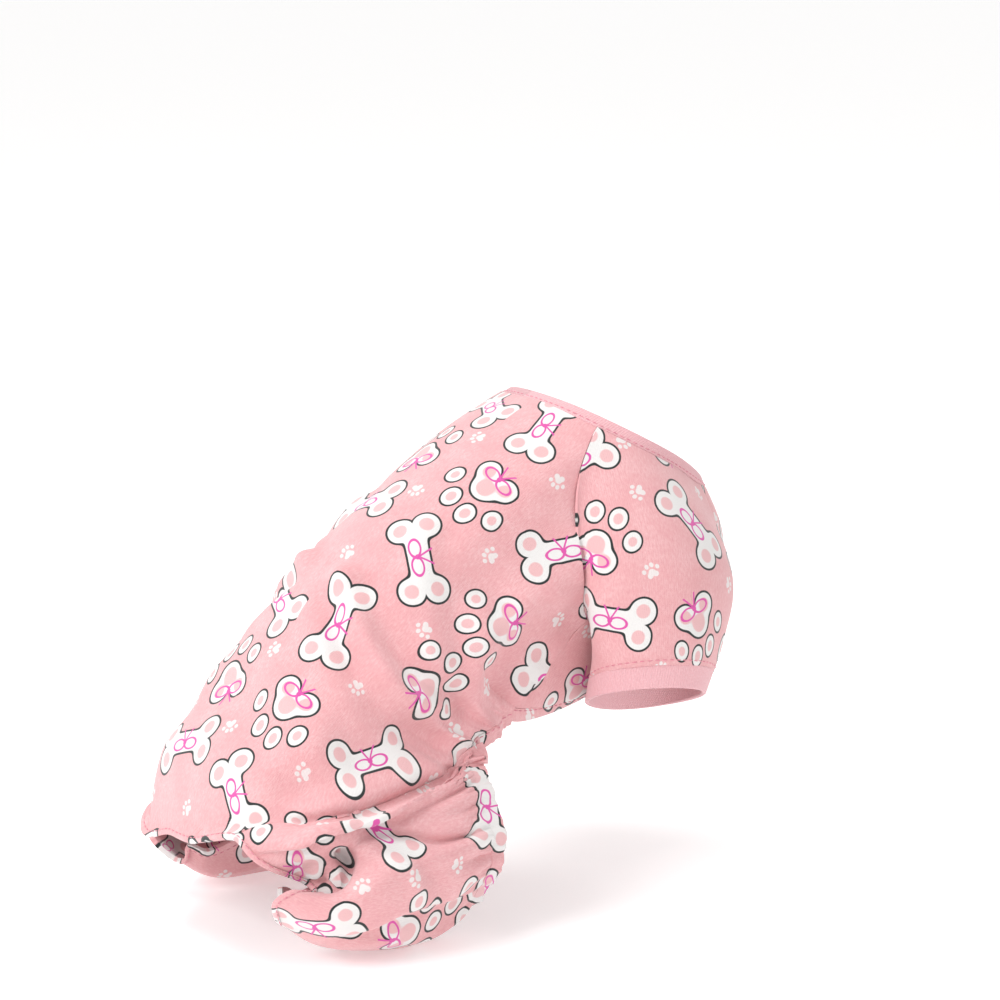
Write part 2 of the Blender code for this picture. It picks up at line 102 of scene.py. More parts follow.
bpy.ops.mesh.primitive_plane_add(size=FLOOR_SIZE, location=(0, 0, FLOOR_HEIGHT))
floor = bpy.context.object
floor.name = "floor"
floor_finish = plain_shader("pale_floor", FLOOR_COLOUR, 0.6)
floor_shader = floor_finish.node_tree.nodes["Principled BSDF"]
floor_shader.inputs["Emission Color"].default_value = (1, 1, 1, 1)
floor_shader.inputs["Emission Strength"].default_value = FLOOR_GLOW
floor.data.materials.append(floor_finish)

surroundings = bpy.data.worlds.new("surroundings")
surroundings.use_nodes = True
background = surroundings.node_tree.nodes["Background"]
background.inputs["Color"].default_value = SURROUNDING_COLOUR
background.inputs["Strength"].default_value = SURROUNDING_STRENGTH
bpy.context.scene.world = surroundings

# Each lamp: name, where it stands, width, watts
LAMPS = (
    ("overhead", (-0.35, 0.35, 1.15), 0.7, 8.0),
    ("camera_left", (-1.45, -0.35, 0.90), 0.6, 13.0),
    ("front", (1.0, -1.2, 0.45), 0.8, 2.5),
)
for lamp_name, stand, width, watts in LAMPS:
    lamp_data = bpy.data.lights.new(lamp_name, "AREA")
    lamp_data.energy = watts
    lamp_data.size = width
    lamp = bpy.data.objects.new(lamp_name, lamp_data)
    bpy.context.scene.collection.objects.link(lamp)
    lamp.location = stand
    lamp.rotation_mode = "QUATERNION"
    lamp.rotation_quaternion = (LOOKED_AT - Vector(stand)).to_track_quat("-Z", "Y")
print("lamps:", [row[0] for row in LAMPS])

# %% [markdown]
# ## Writing shader maths as Python
# A finish is a net of small nodes. Placing them one by one hides the formula that they stand for, so this
# class wraps one output of a node and lets it be added, multiplied and compared as a number would be. Any
# other node comes from the one method that takes its type, its settings and what goes into its sockets.

# %% A socket that can be reckoned with


class Wire:
    """One value that varies over a surface."""

    def __init__(self, tree, socket=None):
        self.tree = tree
        self.socket = socket

    def node(self, kind, settings=None, sockets=None, output=0):
        made = self.tree.nodes.new(kind)
        for name, value in (settings or {}).items():
            setattr(made, name, value)
        for name, value in (sockets or {}).items():
            if isinstance(value, Wire):
                self.tree.links.new(value.socket, made.inputs[name])
            else:
                made.inputs[name].default_value = value
        return Wire(self.tree, made.outputs[output])

    def math(self, operation, *values):
        return self.node("ShaderNodeMath", {"operation": operation}, dict(enumerate(values)))

    def vector(self, operation, *values, output=0):
        return self.node("ShaderNodeVectorMath", {"operation": operation}, dict(enumerate(values)), output)

    def __add__(self, other):
        return self.math("ADD", self, other)

    def __sub__(self, other):
        return self.math("SUBTRACT", self, other)

    def __rsub__(self, other):
        return self.math("SUBTRACT", other, self)

    def __mul__(self, other):
        return self.math("MULTIPLY", self, other)

    def __abs__(self):
        return self.math("ABSOLUTE", self)

    def __lt__(self, other):
        return self.math("LESS_THAN", self, other)

    __radd__ = __add__
    __rmul__ = __mul__

    def least(self, other):
        return self.math("MINIMUM", self, other)

    def most(self, other):
        return self.math("MAXIMUM", self, other)

    def sine(self):
        return self.math("SINE", self)

    def parts(self):
        split = self.tree.nodes.new("ShaderNodeSeparateXYZ")
        self.tree.links.new(self.socket, split.inputs[0])
        return [Wire(self.tree, out) for out in split.outputs]

    def fade(self, start, stop, first=1.0, last=0.0):
        """first below start, last above stop, and a soft passage between."""
        ends = {"From Min": start, "From Max": stop, "To Min": first, "To Max": last}
        return self.node("ShaderNodeMapRange", {"interpolation_type": "SMOOTHSTEP"}, {"Value": self, **ends})


def dye(share, ground, colour):
    """A ground colour with another laid over it by a share."""
    return share.node("ShaderNodeMix", {"data_type": "RGBA"}, {0: share, 6: ground, 7: colour}, 2)


def new_finish(name, roughness, sheen):
    """An empty cloth finish and a wire to start its formula from."""
    made = plain_shader(name, (0.8, 0.5, 0.5), roughness)
    shader = made.node_tree.nodes["Principled BSDF"]
    shader.inputs["Sheen Weight"].default_value = sheen
    shader.inputs["Sheen Roughness"].default_value = 0.5
    shader.inputs["Specular IOR Level"].default_value = 0.25
    return made, shader, Wire(made.node_tree)


def plug(wire, shader, socket):
    wire.tree.links.new(wire.socket, shader.inputs[socket])


# %% [markdown]
# ## Knitted jersey
# Jersey is a fine knit. Close up it has columns of loops under a millimetre wide and a soft fuzz, and its dye
# takes unevenly, so the pink is mottled with paler fibres. All of it is worked out from the cloth's own flat
# measure in metres, kept in a UV map, so the knit bends with the folds. An image would do this too, but a
# formula stays sharp at any distance.

# %% The ground of the jersey
JERSEY_PINK = (0.715, 0.362, 0.378, 1)
JERSEY_PALE = (0.800, 0.510, 0.520, 1)
JERSEY_DEEP = (0.640, 0.270, 0.295, 1)
LOOP_WIDTH = 0.00085
LOOP_HEIGHT = 0.00070


def flat_measure(start):
    return start.node("ShaderNodeUVMap", {"uv_map": "cloth"})


def noise(start, where, size, detail=2.0, roughness=0.5):
    """Noise about 0.5, whose patches are about one size in metres."""
    return start.node("ShaderNodeTexNoise", {"noise_dimensions": "2D"},
                      {"Vector": where, "Scale": 1 / size, "Detail": detail, "Roughness": roughness})


def knit_height(cloth):
    """How high the loops of the knit stand, from -1 to 1."""
    across, along, _ = cloth.parts()
    wales = (across * (2 * math.pi / LOOP_WIDTH)).sine()
    courses = (along * (2 * math.pi / LOOP_HEIGHT) + wales * 1.2).sine()
    return wales * 0.6 + courses * 0.4


def jersey_ground(start, cloth):
    """The mottled pink of the bare cloth."""
    patches = noise(start, cloth, 0.012)
    stretched = cloth.vector("MULTIPLY", cloth, (1.0, 0.35, 1.0))
    fibres = noise(start, stretched, 0.0007, detail=3.0, roughness=0.7)
    pale = (fibres - 0.5) * 1.1 + (patches - 0.5) * 0.5 + 0.12
    ground = dye(pale.fade(0.0, 0.5, 0.0, 0.7), JERSEY_PINK, JERSEY_PALE)
    deep = (0.5 - fibres) * 1.4 + (0.5 - patches) * 0.4
    return dye(deep.fade(0.0, 0.6, 0.0, 0.55), ground, JERSEY_DEEP)


def raise_cloth(shader, height, distance):
    bump = height.node("ShaderNodeBump", None, {"Strength": 1.0, "Distance": distance, "Height": height})
    plug(bump, shader, "Normal")


# %% [markdown]
# ## A generic print
# The cloth is printed with scattered white motifs that have thin dark outlines, pink middles and magenta
# bows. Here they are bones and paws in a half-drop repeat, a common kind of pattern on pet wear. One repeat
# is a small table of places. Each point of the cloth looks up the nearest motif and measures its distance
# to that motif's edge. Lines and fills then follow from the distance alone, which keeps them crisp.

# %% Where the motifs lie
REPEAT = (0.124, 0.116)
# Places in one repeat, in shares of it, and each motif's turn in degrees
BONES = ((0.06, 0.10, 24), (0.42, 0.36, -58), (0.78, 0.08, 74), (0.08, 0.66, -18), (0.72, 0.74, 38))
PAWS = ((0.42, 0.02, -160), (0.74, 0.42, 12), (0.08, 0.385, 150), (0.40, 0.72, 28))
SMALL_PAWS = ((0.24, 0.05, 30), (0.60, 0.21, -20), (0.23, 0.52, 200), (0.57, 0.56, 75), (0.91, 0.55, -35),
              (0.24, 0.86, 160), (0.56, 0.91, 10), (0.93, 0.86, 110), (0.92, 0.26, 65), (0.24, 0.24, -70))


def seen_from_nearest(cloth, places):
    """The cloth's measure seen from the nearest of several motifs, turned with it."""
    half = (REPEAT[0] / 2, REPEAT[1] / 2, 1.0)
    least = (-half[0], -half[1], -1.0)
    found, near = None, None
    for share_across, share_along, turn in places:
        offset = cloth.vector("SUBTRACT", cloth, (share_across * REPEAT[0], share_along * REPEAT[1], 0.0))
        offset = cloth.vector("WRAP", offset, half, least)
        offset = cloth.node("ShaderNodeVectorRotate", {"rotation_type": "Z_AXIS"},
                            {"Vector": offset, "Angle": math.radians(turn)})
        far = cloth.vector("LENGTH", offset, output=1)
        if found is None:
            found, near = offset, far
        else:
            found = cloth.node("ShaderNodeMix", {"data_type": "VECTOR"},
                               {0: far < near, 4: found, 5: offset}, 1)
            near = near.least(far)
    return found


print("motifs in a repeat of", REPEAT, "m:", len(BONES) + len(PAWS), "large and", len(SMALL_PAWS), "small")

# %% [markdown]
# ### Outlines as distances
# Each motif is a union of circles, ovals and a bar. The distance to a union is the least of the distances to
# its parts, and a smooth least rounds the inner corners, as a drawn line would.

# %% Distances to a bone, a paw and a bow


def disc(x, y, centre_x, centre_y, radius, squeeze=1.0):
    """Distance to a disc's edge, less than 0 inside. squeeze makes it taller than wide."""
    dx = (x - centre_x) * squeeze
    dy = y - centre_y
    squared = dx * dx + dy * dy
    return squared.math("SQRT", squared) - radius


def rounded_union(first, second, reach):
    return first.node("ShaderNodeMath", {"operation": "SMOOTH_MIN"}, {0: first, 1: second, 2: reach})


def bone_edge(x, y):
    """A bone 37 mm long and 21 mm wide, in metres."""
    x, y = abs(x), abs(y)
    knob = disc(x, y, 0.0128, 0.0050, 0.0056)
    bar = (x - 0.0125).most(y - 0.0046)
    return rounded_union(knob, bar, 0.0035)


def paw_edge(x, y, size=1.15):
    """A paw 34 mm wide: a pad and four toes."""
    x = abs(x)
    heel = rounded_union(disc(x, y, 0.0, -0.0015 * size, 0.0052 * size),
                         disc(x, y, 0.0048 * size, -0.0062 * size, 0.0044 * size), 0.0045 * size)
    inner_toe = disc(x, y, 0.0041 * size, 0.0094 * size, 0.0041 * size, 1.25)
    outer_toe = disc(x, y, 0.0112 * size, 0.0034 * size, 0.0038 * size, 1.2)
    return heel.least(inner_toe.least(outer_toe))


def bow_line(x, y):
    """Distance to the thin line of a drawn bow: two loops, a knot and two tails."""
    x = abs(x)
    loop = abs(disc(x, y, 0.0036, 0.0010, 0.0022, 0.62))
    knot = disc(x, y, 0.0, 0.0004, 0.0007)
    slant = abs(x * 0.88 + y * 0.47)
    tail = slant.most((y + 0.0002).most(-0.0052 - y))
    return loop.least(knot.least(tail))


# %% [markdown]
# ### The printed jersey
# The inks lie in order: white fill, pink middle, dark outline, magenta bow. Screen ink soaks in, so the
# knit's bump runs on through it and only the colour changes.

# %% The printed jersey
WHITE_INK = (0.740, 0.725, 0.715, 1)
BLUSH_INK = (0.730, 0.370, 0.385, 1)
DARK_INK = (0.020, 0.026, 0.026, 1)
MAGENTA_INK = (0.640, 0.085, 0.350, 1)
OUTLINE = 0.00044
BOW_LINE = 0.00036
INK_EDGE = 0.00012


def inked(distance, line_half=0.0):
    """1 where ink lies: inside a shape, or within half a line's width of its edge."""
    return distance.fade(line_half - INK_EDGE, line_half + INK_EDGE)


def printed(cloth, ground):
    """The print laid over a ground colour."""
    bone_x, bone_y, _ = seen_from_nearest(cloth, BONES).parts()
    paw_x, paw_y, _ = seen_from_nearest(cloth, PAWS).parts()
    dot_x, dot_y, _ = seen_from_nearest(cloth, SMALL_PAWS).parts()
    bone, paw = bone_edge(bone_x, bone_y), paw_edge(paw_x, paw_y)
    edge = bone.least(paw)
    colour = dye(inked(paw_edge(dot_x, dot_y, 0.25)) * 0.85, ground, WHITE_INK)
    colour = dye(inked(edge), colour, WHITE_INK)
    middle = paw.least(disc(abs(bone_x), abs(bone_y), 0.0128, 0.0052, 0.0052))
    colour = dye(middle.fade(-0.0027, -0.0021, 0.8, 0.0), colour, BLUSH_INK)
    colour = dye(inked(abs(edge), OUTLINE), colour, DARK_INK)
    bow = bow_line(bone_x, bone_y).least(bow_line(paw_x, paw_y + 0.0085))
    return dye(inked(bow, BOW_LINE), colour, MAGENTA_INK)


jersey, jersey_shader, begin = new_finish("printed_jersey", 0.88, 0.35)
jersey_cloth = flat_measure(begin)
plug(printed(jersey_cloth, jersey_ground(begin, jersey_cloth)), jersey_shader, "Base Color")
fuzz = noise(begin, jersey_cloth, 0.0011, detail=3.0, roughness=0.65)
raise_cloth(jersey_shader, knit_height(jersey_cloth) * 0.35 + fuzz * 1.3, 0.00009)
print("printed jersey nodes:", len(jersey.node_tree.nodes))

# %% [markdown]
# ### Plain rib
# The neck and sleeve bands are unprinted rib in a slightly stronger pink. A rib is columns of loops that
# stand up in turn, so its bump is one wave along the band's length.

# %% The plain rib
RIB_PINK = (0.740, 0.400, 0.430, 1)
RIB_PALE = (0.800, 0.510, 0.540, 1)
RIB_WIDTH = 0.0011

rib, rib_shader, begin = new_finish("plain_band", 0.82, 0.3)
rib_cloth = flat_measure(begin)
rib_fibres = noise(begin, rib_cloth, 0.0008, detail=3.0, roughness=0.7)
plug(dye(rib_fibres.fade(0.42, 0.7, 0.0, 0.6), RIB_PINK, RIB_PALE), rib_shader, "Base Color")
ribs = (rib_cloth.parts()[0] * (2 * math.pi / RIB_WIDTH)).sine()
raise_cloth(rib_shader, ribs * 0.6 + rib_fibres * 0.8, 0.00010)

# %% [markdown]
# ### Sewing thread
# The thread is a stronger pink than the cloth, and a fine noise stands for its twist.

# %% The sewing thread
THREAD_DEEP = (0.62, 0.20, 0.27, 1)
THREAD_PALE = (0.78, 0.34, 0.40, 1)
thread, thread_shader, begin = new_finish("sewing_thread", 0.6, 0.1)
thread_place = begin.node("ShaderNodeTexCoord", output="Object")
thread_shade = begin.node("ShaderNodeTexNoise", None, {"Vector": thread_place, "Scale": 900.0})
plug(dye(thread_shade.fade(0.35, 0.65, 0.0, 0.8), THREAD_DEEP, THREAD_PALE), thread_shader, "Base Color")
print("finishes:", jersey.name, rib.name, thread.name)

# %% [markdown]
# ## Curves through measured rows
# Each panel runs through a few measured rows. A Catmull-Rom curve passes through every row, so the table's
# numbers stay true measures. Splines in a curve object could do the same, but plain arrays are easier to cut
# into panels.

# %% Curves
BODY_RUN = 0.200
WITHERS_HEIGHT = 0.200
CHEST_HALF_WIDTH = 0.048
THIGH_HALF_WIDTH = 0.080
SLEEVE_LENGTH = 0.066
SLEEVE_RADIUS = 0.0245
LINE_SAMPLES = 60


def spline(points, at):
    """Points on a smooth curve through rows of points, at row numbers."""
    points = np.asarray(points, float)
    at = np.clip(np.asarray(at, float), 0.0, len(points) - 1.0)
    padded = np.concatenate([[2 * points[0] - points[1]], points, [2 * points[-1] - points[-2]]])
    first = np.minimum(at.astype(int), len(points) - 2)
    t = (at - first).reshape(at.shape + (1,) * (points.ndim - 1))
    p0, p1, p2, p3 = (padded[first + k] for k in range(4))
    return 0.5 * (2 * p1 + (p2 - p0) * t + (2 * p0 - 5 * p1 + 4 * p2 - p3) * t**2
                  + (3 * p1 - p0 - 3 * p2 + p3) * t**3)


def run_through(places):
    """A finely divided curve through all of several places."""
    return spline(places, np.linspace(0, len(places) - 1, LINE_SAMPLES))


def smooth_step(value, start, stop):
    """0 below start, 1 above stop, and a soft passage between."""
    share = np.clip((np.asarray(value) - start) / (stop - start), 0, 1)
    return share * share * (3 - 2 * share)


def unit(vectors):
    return vectors / np.maximum(np.linalg.norm(vectors, axis=-1, keepdims=True), 1e-9)


def square_to(grid):
    """Unit vectors square to a grid of points."""
    return unit(np.cross(np.gradient(grid, axis=0), np.gradient(grid, axis=1)))


def place(x, y, z, half_width=CHEST_HALF_WIDTH):
    """A point on the right side from shares of the sizes."""
    return (x * BODY_RUN, -y * half_width, (z - 1.0) * WITHERS_HEIGHT)


# %% [markdown]
# ## The body's sections
# Ten slanting sections carry the body from the neck opening to the tail hem. Each goes from the middle of
# the back over the widest place and the side seam to the middle of the belly.

# %% Sections of the body
TORSO_COLUMNS = ("back_x", "back_z", "side_x", "side_y", "side_z", "seam_x", "seam_y", "seam_z",
                 "belly_x", "belly_z")
TORSO = (
    (0.00, 1.00, 0.12, 0.86, 0.93, 0.23, 0.79, 0.87, 0.36, 0.79),
    (-0.08, 0.97, 0.07, 0.96, 0.85, 0.18, 0.96, 0.77, 0.42, 0.67),
    (-0.175, 0.925, -0.03, 1.00, 0.78, 0.09, 1.00, 0.68, 0.41, 0.53),
    (-0.29, 0.855, -0.14, 0.98, 0.69, -0.015, 0.92, 0.575, 0.29, 0.43),
    (-0.41, 0.775, -0.26, 0.96, 0.58, -0.15, 0.86, 0.44, 0.15, 0.385),
    (-0.52, 0.67, -0.38, 0.98, 0.50, -0.25, 0.88, 0.385, 0.00, 0.38),
    (-0.625, 0.55, -0.49, 1.04, 0.43, -0.365, 1.10, 0.335, -0.1, 0.34),
    (-0.73, 0.42, -0.63, 1.13, 0.37, -0.545, 1.27, 0.305, -0.2, 0.30),
    (-0.80, 0.30, -0.745, 0.93, 0.31, -0.68, 1.18, 0.288, -0.3, 0.25),
    (-0.825, 0.22, -0.82, 0.52, 0.24, -0.795, 0.88, 0.265, -0.4, 0.20),
)
UNDERARM = 3.0
BELLY_END_SIDE = 4.3
BELLY_END_MIDDLE = 4.0
LEG_START = 5.5
TAIL = 9.0
SECTION_SAMPLES = 61


def half_section(back, side, seam, belly, on_leg):
    """Half a section. Where a hind leg takes over at the seam, the section runs straight on."""
    back, side, seam, belly = (np.array(p) for p in (back, side, seam, belly))
    crown = back + 0.22 * (side - back) * (1, 0, 1) + 0.62 * (side - back) * (0, 1, 0)
    keel = belly + 0.25 * (seam - belly) * (1, 0, 1) + 0.62 * (seam - belly) * (0, 1, 0)
    rail = [crown * (1, -1, 1), back, crown, side, seam, keel, belly, keel * (1, -1, 1)]
    above = rail[:5] + [2 * seam - side if on_leg else keel]
    upper = spline(above, np.linspace(1, 4, SECTION_SAMPLES))
    lower = spline(rail, np.linspace(4, 6, SECTION_SAMPLES))
    return np.concatenate([upper, lower[1:]])


def body_sections():
    found = []
    for station, row in enumerate(TORSO):
        r = dict(zip(TORSO_COLUMNS, row))
        found.append(half_section(place(r["back_x"], 0, r["back_z"]),
                                  place(r["side_x"], r["side_y"], r["side_z"]),
                                  place(r["seam_x"], r["seam_y"], r["seam_z"]),
                                  place(r["belly_x"], 0, r["belly_z"]), station > LEG_START))
    return np.array(found)


SECTIONS = body_sections()


def torso(station, across):
    """Points of the body's right half. across runs from 0, mid back, over 1, the seam, to 2, mid belly."""
    station, across = np.broadcast_arrays(np.asarray(station, float), np.asarray(across, float))
    rows = spline(SECTIONS, station.ravel())
    at = across.ravel() * (SECTION_SAMPLES - 1)
    first = np.minimum(at.astype(int), rows.shape[1] - 2)
    part = (at - first)[:, None]
    pick = np.arange(len(at))
    return (rows[pick, first] * (1 - part) + rows[pick, first + 1] * part).reshape(station.shape + (3,))


print("girth of the neck opening in mm:",
      round(2000 * np.linalg.norm(np.diff(torso(0, np.linspace(0, 2, 200)), axis=0), axis=1).sum()))

# %% [markdown]
# ## The left side
# Both sides are cut alike, so the left is the right turned over. Only the seat hangs a little lower and
# closer in on that side, as soft cloth does when it is worn on a slant.

# %% The left side
LEFT_DROP = 0.24
LEFT_AHEAD = 0.06
LEFT_IN = 0.14


def left(points):
    """The left side's counterpart of points on the right."""
    x, y, z = points[..., 0], -points[..., 1], points[..., 2]
    height = z + WITHERS_HEIGHT
    seat = smooth_step(-x, 0.45 * BODY_RUN, 0.75 * BODY_RUN)
    low = seat * (1 - smooth_step(height, 0.20 * WITHERS_HEIGHT, 0.36 * WITHERS_HEIGHT))
    low = low * smooth_step(y, 0, 0.6 * CHEST_HALF_WIDTH)
    wide = seat * smooth_step(y, 0.5 * CHEST_HALF_WIDTH, 1.2 * CHEST_HALF_WIDTH)
    return np.stack([x * (1 - LEFT_AHEAD * wide), y * (1 - LEFT_IN * wide),
                     height * (1 - LEFT_DROP * low) - WITHERS_HEIGHT], -1)


# Each side: its name, what brings the right side's points there, and whether that turns the cloth inside out
SIDES = (("right", np.array, False), ("left", left, True))


def both_sides(half):
    """A panel across the middle from its right half, whose columns start at the middle."""
    return np.concatenate([half[:, ::-1], left(half[:, 1:])], axis=1)


# %% [markdown]
# ## From a grid of points to cloth
# A panel starts as one sheet of quads on the cloth's outer face. Its flat measure goes into the UV map, and a
# Solidify modifier adds the thickness inward, so the outside keeps its shape. A small bevel rounds the cut
# edges. Every piece then hangs from its body, takes its finish and hides the frame's node that it stands for.

# %% Cloth from a grid
JERSEY_THICKNESS = 0.0011
# Where the print starts on a panel, in metres of cloth
PRINT_STARTS = {"belly": (0.031, 0.047), "sleeve": (0.055, 0.015), "leg": (0.043, 0.082)}
garment = bpy.data.collections.new("jumpsuit")
bpy.context.scene.collection.children.link(garment)


def quads(rows, columns):
    """Numbers of the four points of each quad in a grid of points."""
    corner = (np.arange(rows - 1)[:, None] * columns + np.arange(columns - 1)).ravel()
    return np.stack([corner, corner + columns, corner + columns + 1, corner + 1], -1)


def new_piece(name, points, faces, finish):
    """A smooth mesh in one finish, placed in the garment."""
    mesh = bpy.data.meshes.new(name)
    mesh.from_pydata(points.reshape(-1, 3).tolist(), [], faces)
    mesh.materials.append(finish)
    mesh.shade_smooth()
    piece = bpy.data.objects.new(name, mesh)
    garment.objects.link(piece)
    return piece


def around_again(grid):
    """A closed grid with its first column set again after its last."""
    return np.concatenate([grid, grid[:, :1]], axis=1)


def flat_lengths(grid):
    """How far each point lies along its row and along its column, in metres of cloth."""
    across = np.linalg.norm(np.diff(grid, axis=1, prepend=grid[:, :1]), axis=-1).cumsum(axis=1)
    along = np.linalg.norm(np.diff(grid, axis=0, prepend=grid[:1]), axis=-1).cumsum(axis=0)
    return np.stack([across, along], -1)


def flatten(grid, step=5):
    """Each point's place on the flat cloth in metres, from an unwrap of every fifth row and column."""
    picked = [np.unique(np.append(np.arange(0, count, step), count - 1)) for count in grid.shape[:2]]
    coarse = grid[np.ix_(*picked)]
    rows, columns = coarse.shape[:2]
    faces = quads(rows, columns)
    mesh = bpy.data.meshes.new("pattern")
    mesh.from_pydata(coarse.reshape(-1, 3).tolist(), [], faces.tolist())
    mesh.uv_layers.new(name="flat")
    pattern = bpy.data.objects.new("pattern", mesh)
    bpy.context.scene.collection.objects.link(pattern)
    bpy.context.view_layer.objects.active = pattern
    pattern.select_set(True)
    bpy.ops.object.mode_set(mode="EDIT")
    bpy.ops.mesh.select_all(action="SELECT")
    bpy.ops.uv.unwrap(method="MINIMUM_STRETCH", margin=0)
    bpy.ops.object.mode_set(mode="OBJECT")
    measures = np.zeros(len(mesh.loops) * 2, "f")
    mesh.uv_layers["flat"].data.foreach_get("uv", measures)
    flat = np.zeros((rows * columns, 2))
    flat[faces.ravel()] = measures.reshape(-1, 2)
    flat = flat.reshape(rows, columns, 2)
    bpy.data.objects.remove(pattern)
    # The unwrap's size and turn are free: match the real area, and lay the panel's length along the second
    # axis
    true_area = np.linalg.norm(np.cross(coarse[1:, :-1] - coarse[:-1, :-1],
                                        coarse[:-1, 1:] - coarse[:-1, :-1]), axis=-1).sum()
    down, side = flat[1:, :-1] - flat[:-1, :-1], flat[:-1, 1:] - flat[:-1, :-1]
    signed = side[..., 0] * down[..., 1] - side[..., 1] * down[..., 0]
    if signed.sum() < 0:
        flat[..., 0] *= -1
    flat *= math.sqrt(true_area / abs(signed.sum()))
    way = flat[-1, columns // 2] - flat[0, columns // 2]
    way /= np.linalg.norm(way)
    flat = flat @ np.array([[way[1], way[0]], [-way[0], way[1]]])
    flat -= flat[0, columns // 2]
    fine = np.stack([np.stack([np.interp(np.arange(grid.shape[0]), picked[0], flat[:, column, axis])
                               for column in range(columns)], -1) for axis in (0, 1)], -1)
    return np.stack([np.stack([np.interp(np.arange(grid.shape[1]), picked[1], row[:, axis])
                               for row in fine], 0) for axis in (0, 1)], -1)


def cloth(name, grid, thickness, finish, nodes, flat=None, closed=False, inside_out=False):
    """One panel from a grid of points on its outer face, closed around its columns if asked."""
    if closed:
        grid = around_again(grid)
    flat = flat_lengths(grid) if flat is None else flat
    rows, columns = grid.shape[:2]
    faces = quads(rows, columns)
    if inside_out:
        faces = faces[:, ::-1]
    measures = flat.reshape(-1, 2)[faces.ravel()]
    if closed:
        last_column = faces % columns == columns - 1
        faces = np.where(last_column, faces - (columns - 1), faces)
        used = (np.arange(rows * columns) % columns) < columns - 1
        renumbered = np.cumsum(used) - 1
        faces, grid = renumbered[faces], grid[:, :-1]
    piece = new_piece(name, grid, faces.tolist(), finish)
    piece.data.uv_layers.new(name="cloth").data.foreach_set("uv", measures.astype("f").ravel())
    shell = piece.modifiers.new("thickness", "SOLIDIFY")
    shell.thickness = thickness
    shell.offset = -1.0
    rounding = piece.modifiers.new("rounded edges", "BEVEL")
    rounding.limit_method = "ANGLE"
    rounding.angle_limit = math.radians(60)
    rounding.width = thickness * 0.3
    rounding.segments = 2
    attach(piece, "root")
    if nodes:
        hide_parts(*nodes)
    print(name, "faces before thickness:", len(faces))


# %% [markdown]
# ## Folds
# Soft cloth that is longer than what it lies over falls into folds. Each fold here follows a line on the
# panel: the cloth sinks along it and stands up a little on its two sides. A cloth simulation would find
# folds of its own, but not the ones that this garment has, so they are laid one by one.

# %% Folds
HIP_FOLD_DEPTH = 0.0034
HIP_FOLD_HALF_WIDTH = 0.0046
HIP_FOLD_LIP = 0.0024
# Folds of the back panel: name, places along it as station and share across, depth, half width. A fold
# with a depth under 0 is a ridge.
BACK_FOLDS = (
    ("armpit to haunch", ((3.2, 0.93), (4.8, 0.79), (6.4, 0.62)), 0.0034, 0.010),
    ("flank to seat", ((5.3, 0.90), (6.4, 0.78), (7.6, 0.66)), 0.0036, 0.009),
    ("shoulder to side", ((1.6, 0.62), (2.6, 0.60), (3.6, 0.56)), 0.0026, 0.010),
    ("flank ridge", ((4.75, 0.16), (5.10, 0.36), (5.35, 0.53), (5.40, 0.62), (5.20, 0.75), (5.25, 0.93)),
     -0.0034, 0.0058),
    ("inside the ridge", ((4.70, 0.28), (5.00, 0.44), (5.15, 0.60), (5.10, 0.70), (5.00, 0.84)),
     0.0027, 0.0058),
    ("outside the ridge", ((5.00, 0.20), (5.40, 0.36), (5.70, 0.53), (5.75, 0.70), (5.60, 0.86)),
     0.0026, 0.0068),
    ("side ridge", ((3.60, 0.30), (3.95, 0.37), (4.35, 0.48), (4.75, 0.62)), -0.0020, 0.0065),
    ("gather ridge", ((3.80, 0.60), (4.10, 0.68), (4.60, 0.82), (4.72, 0.94)), -0.0018, 0.0055),
    ("armpit to belly", ((3.30, 0.80), (3.90, 0.80), (4.30, 0.92)), 0.0020, 0.006),
    ("across the rump", ((6.60, 0.05), (7.10, 0.35), (7.30, 0.62)), 0.0022, 0.010),
)


def through(places):
    """A line of points on the body through places given as station and share across."""
    run = run_through(places)
    return torso(run[:, 0], run[:, 1])


def distance_to(points, line):
    """Distance of each point from the nearest of a line's points."""
    nearest = np.full(points.shape[:-1], np.inf)
    for spot in line:
        nearest = np.minimum(nearest, ((points - spot) ** 2).sum(-1))
    return np.sqrt(nearest)


def fold(points, line, depth, half_width):
    """How far a fold along a line lifts the cloth, less than 0 where it is sunk."""
    away = distance_to(points, line) / half_width
    return depth * (0.45 * np.exp(-((away - 1.7) / 0.8) ** 2) - np.exp(-(away**2)))


def crease(points, line, depth, half_width, lip=0.0):
    """How far a crease moves the cloth. It sinks along the line, and above it a lip is pushed over the sunk
    part. The line runs from the rear to the front, so that its upper side is known."""
    facing = square_to(points)
    way = unit(np.gradient(line, axis=0))
    nearest = np.zeros(points.shape[:-1], int)
    least = np.full(points.shape[:-1], np.inf)
    for number, spot in enumerate(line):
        away = ((points - spot) ** 2).sum(-1)
        nearest = np.where(away < least, number, nearest)
        least = np.minimum(away, least)
    up = unit(np.cross(facing, way[nearest]))
    above = ((points - line[nearest]) * up).sum(-1)
    beyond = np.sqrt(np.maximum(least - above**2, 0))
    fade = np.exp(-(beyond / half_width) ** 2)
    sunk = depth * np.exp(-(above / half_width) ** 2) * fade
    pushed = lip * np.exp(-((above / half_width - 1.1) / 0.8) ** 2) * fade
    return facing * (0.5 * pushed - sunk)[..., None] - up * pushed[..., None]


def soft_unevenness(points, height=0.0005):
    """Slow waves that keep a smooth panel from looking moulded."""
    x, y, z = (points[..., axis] / 0.011 for axis in range(3))
    return height * (np.sin(0.9 * x + 1.7 * y + 0.4) + np.sin(1.3 * z - 0.8 * y + 1.1)
                     + 0.7 * np.sin(1.9 * y + 1.1 * x - 1.5 * z)) / 2


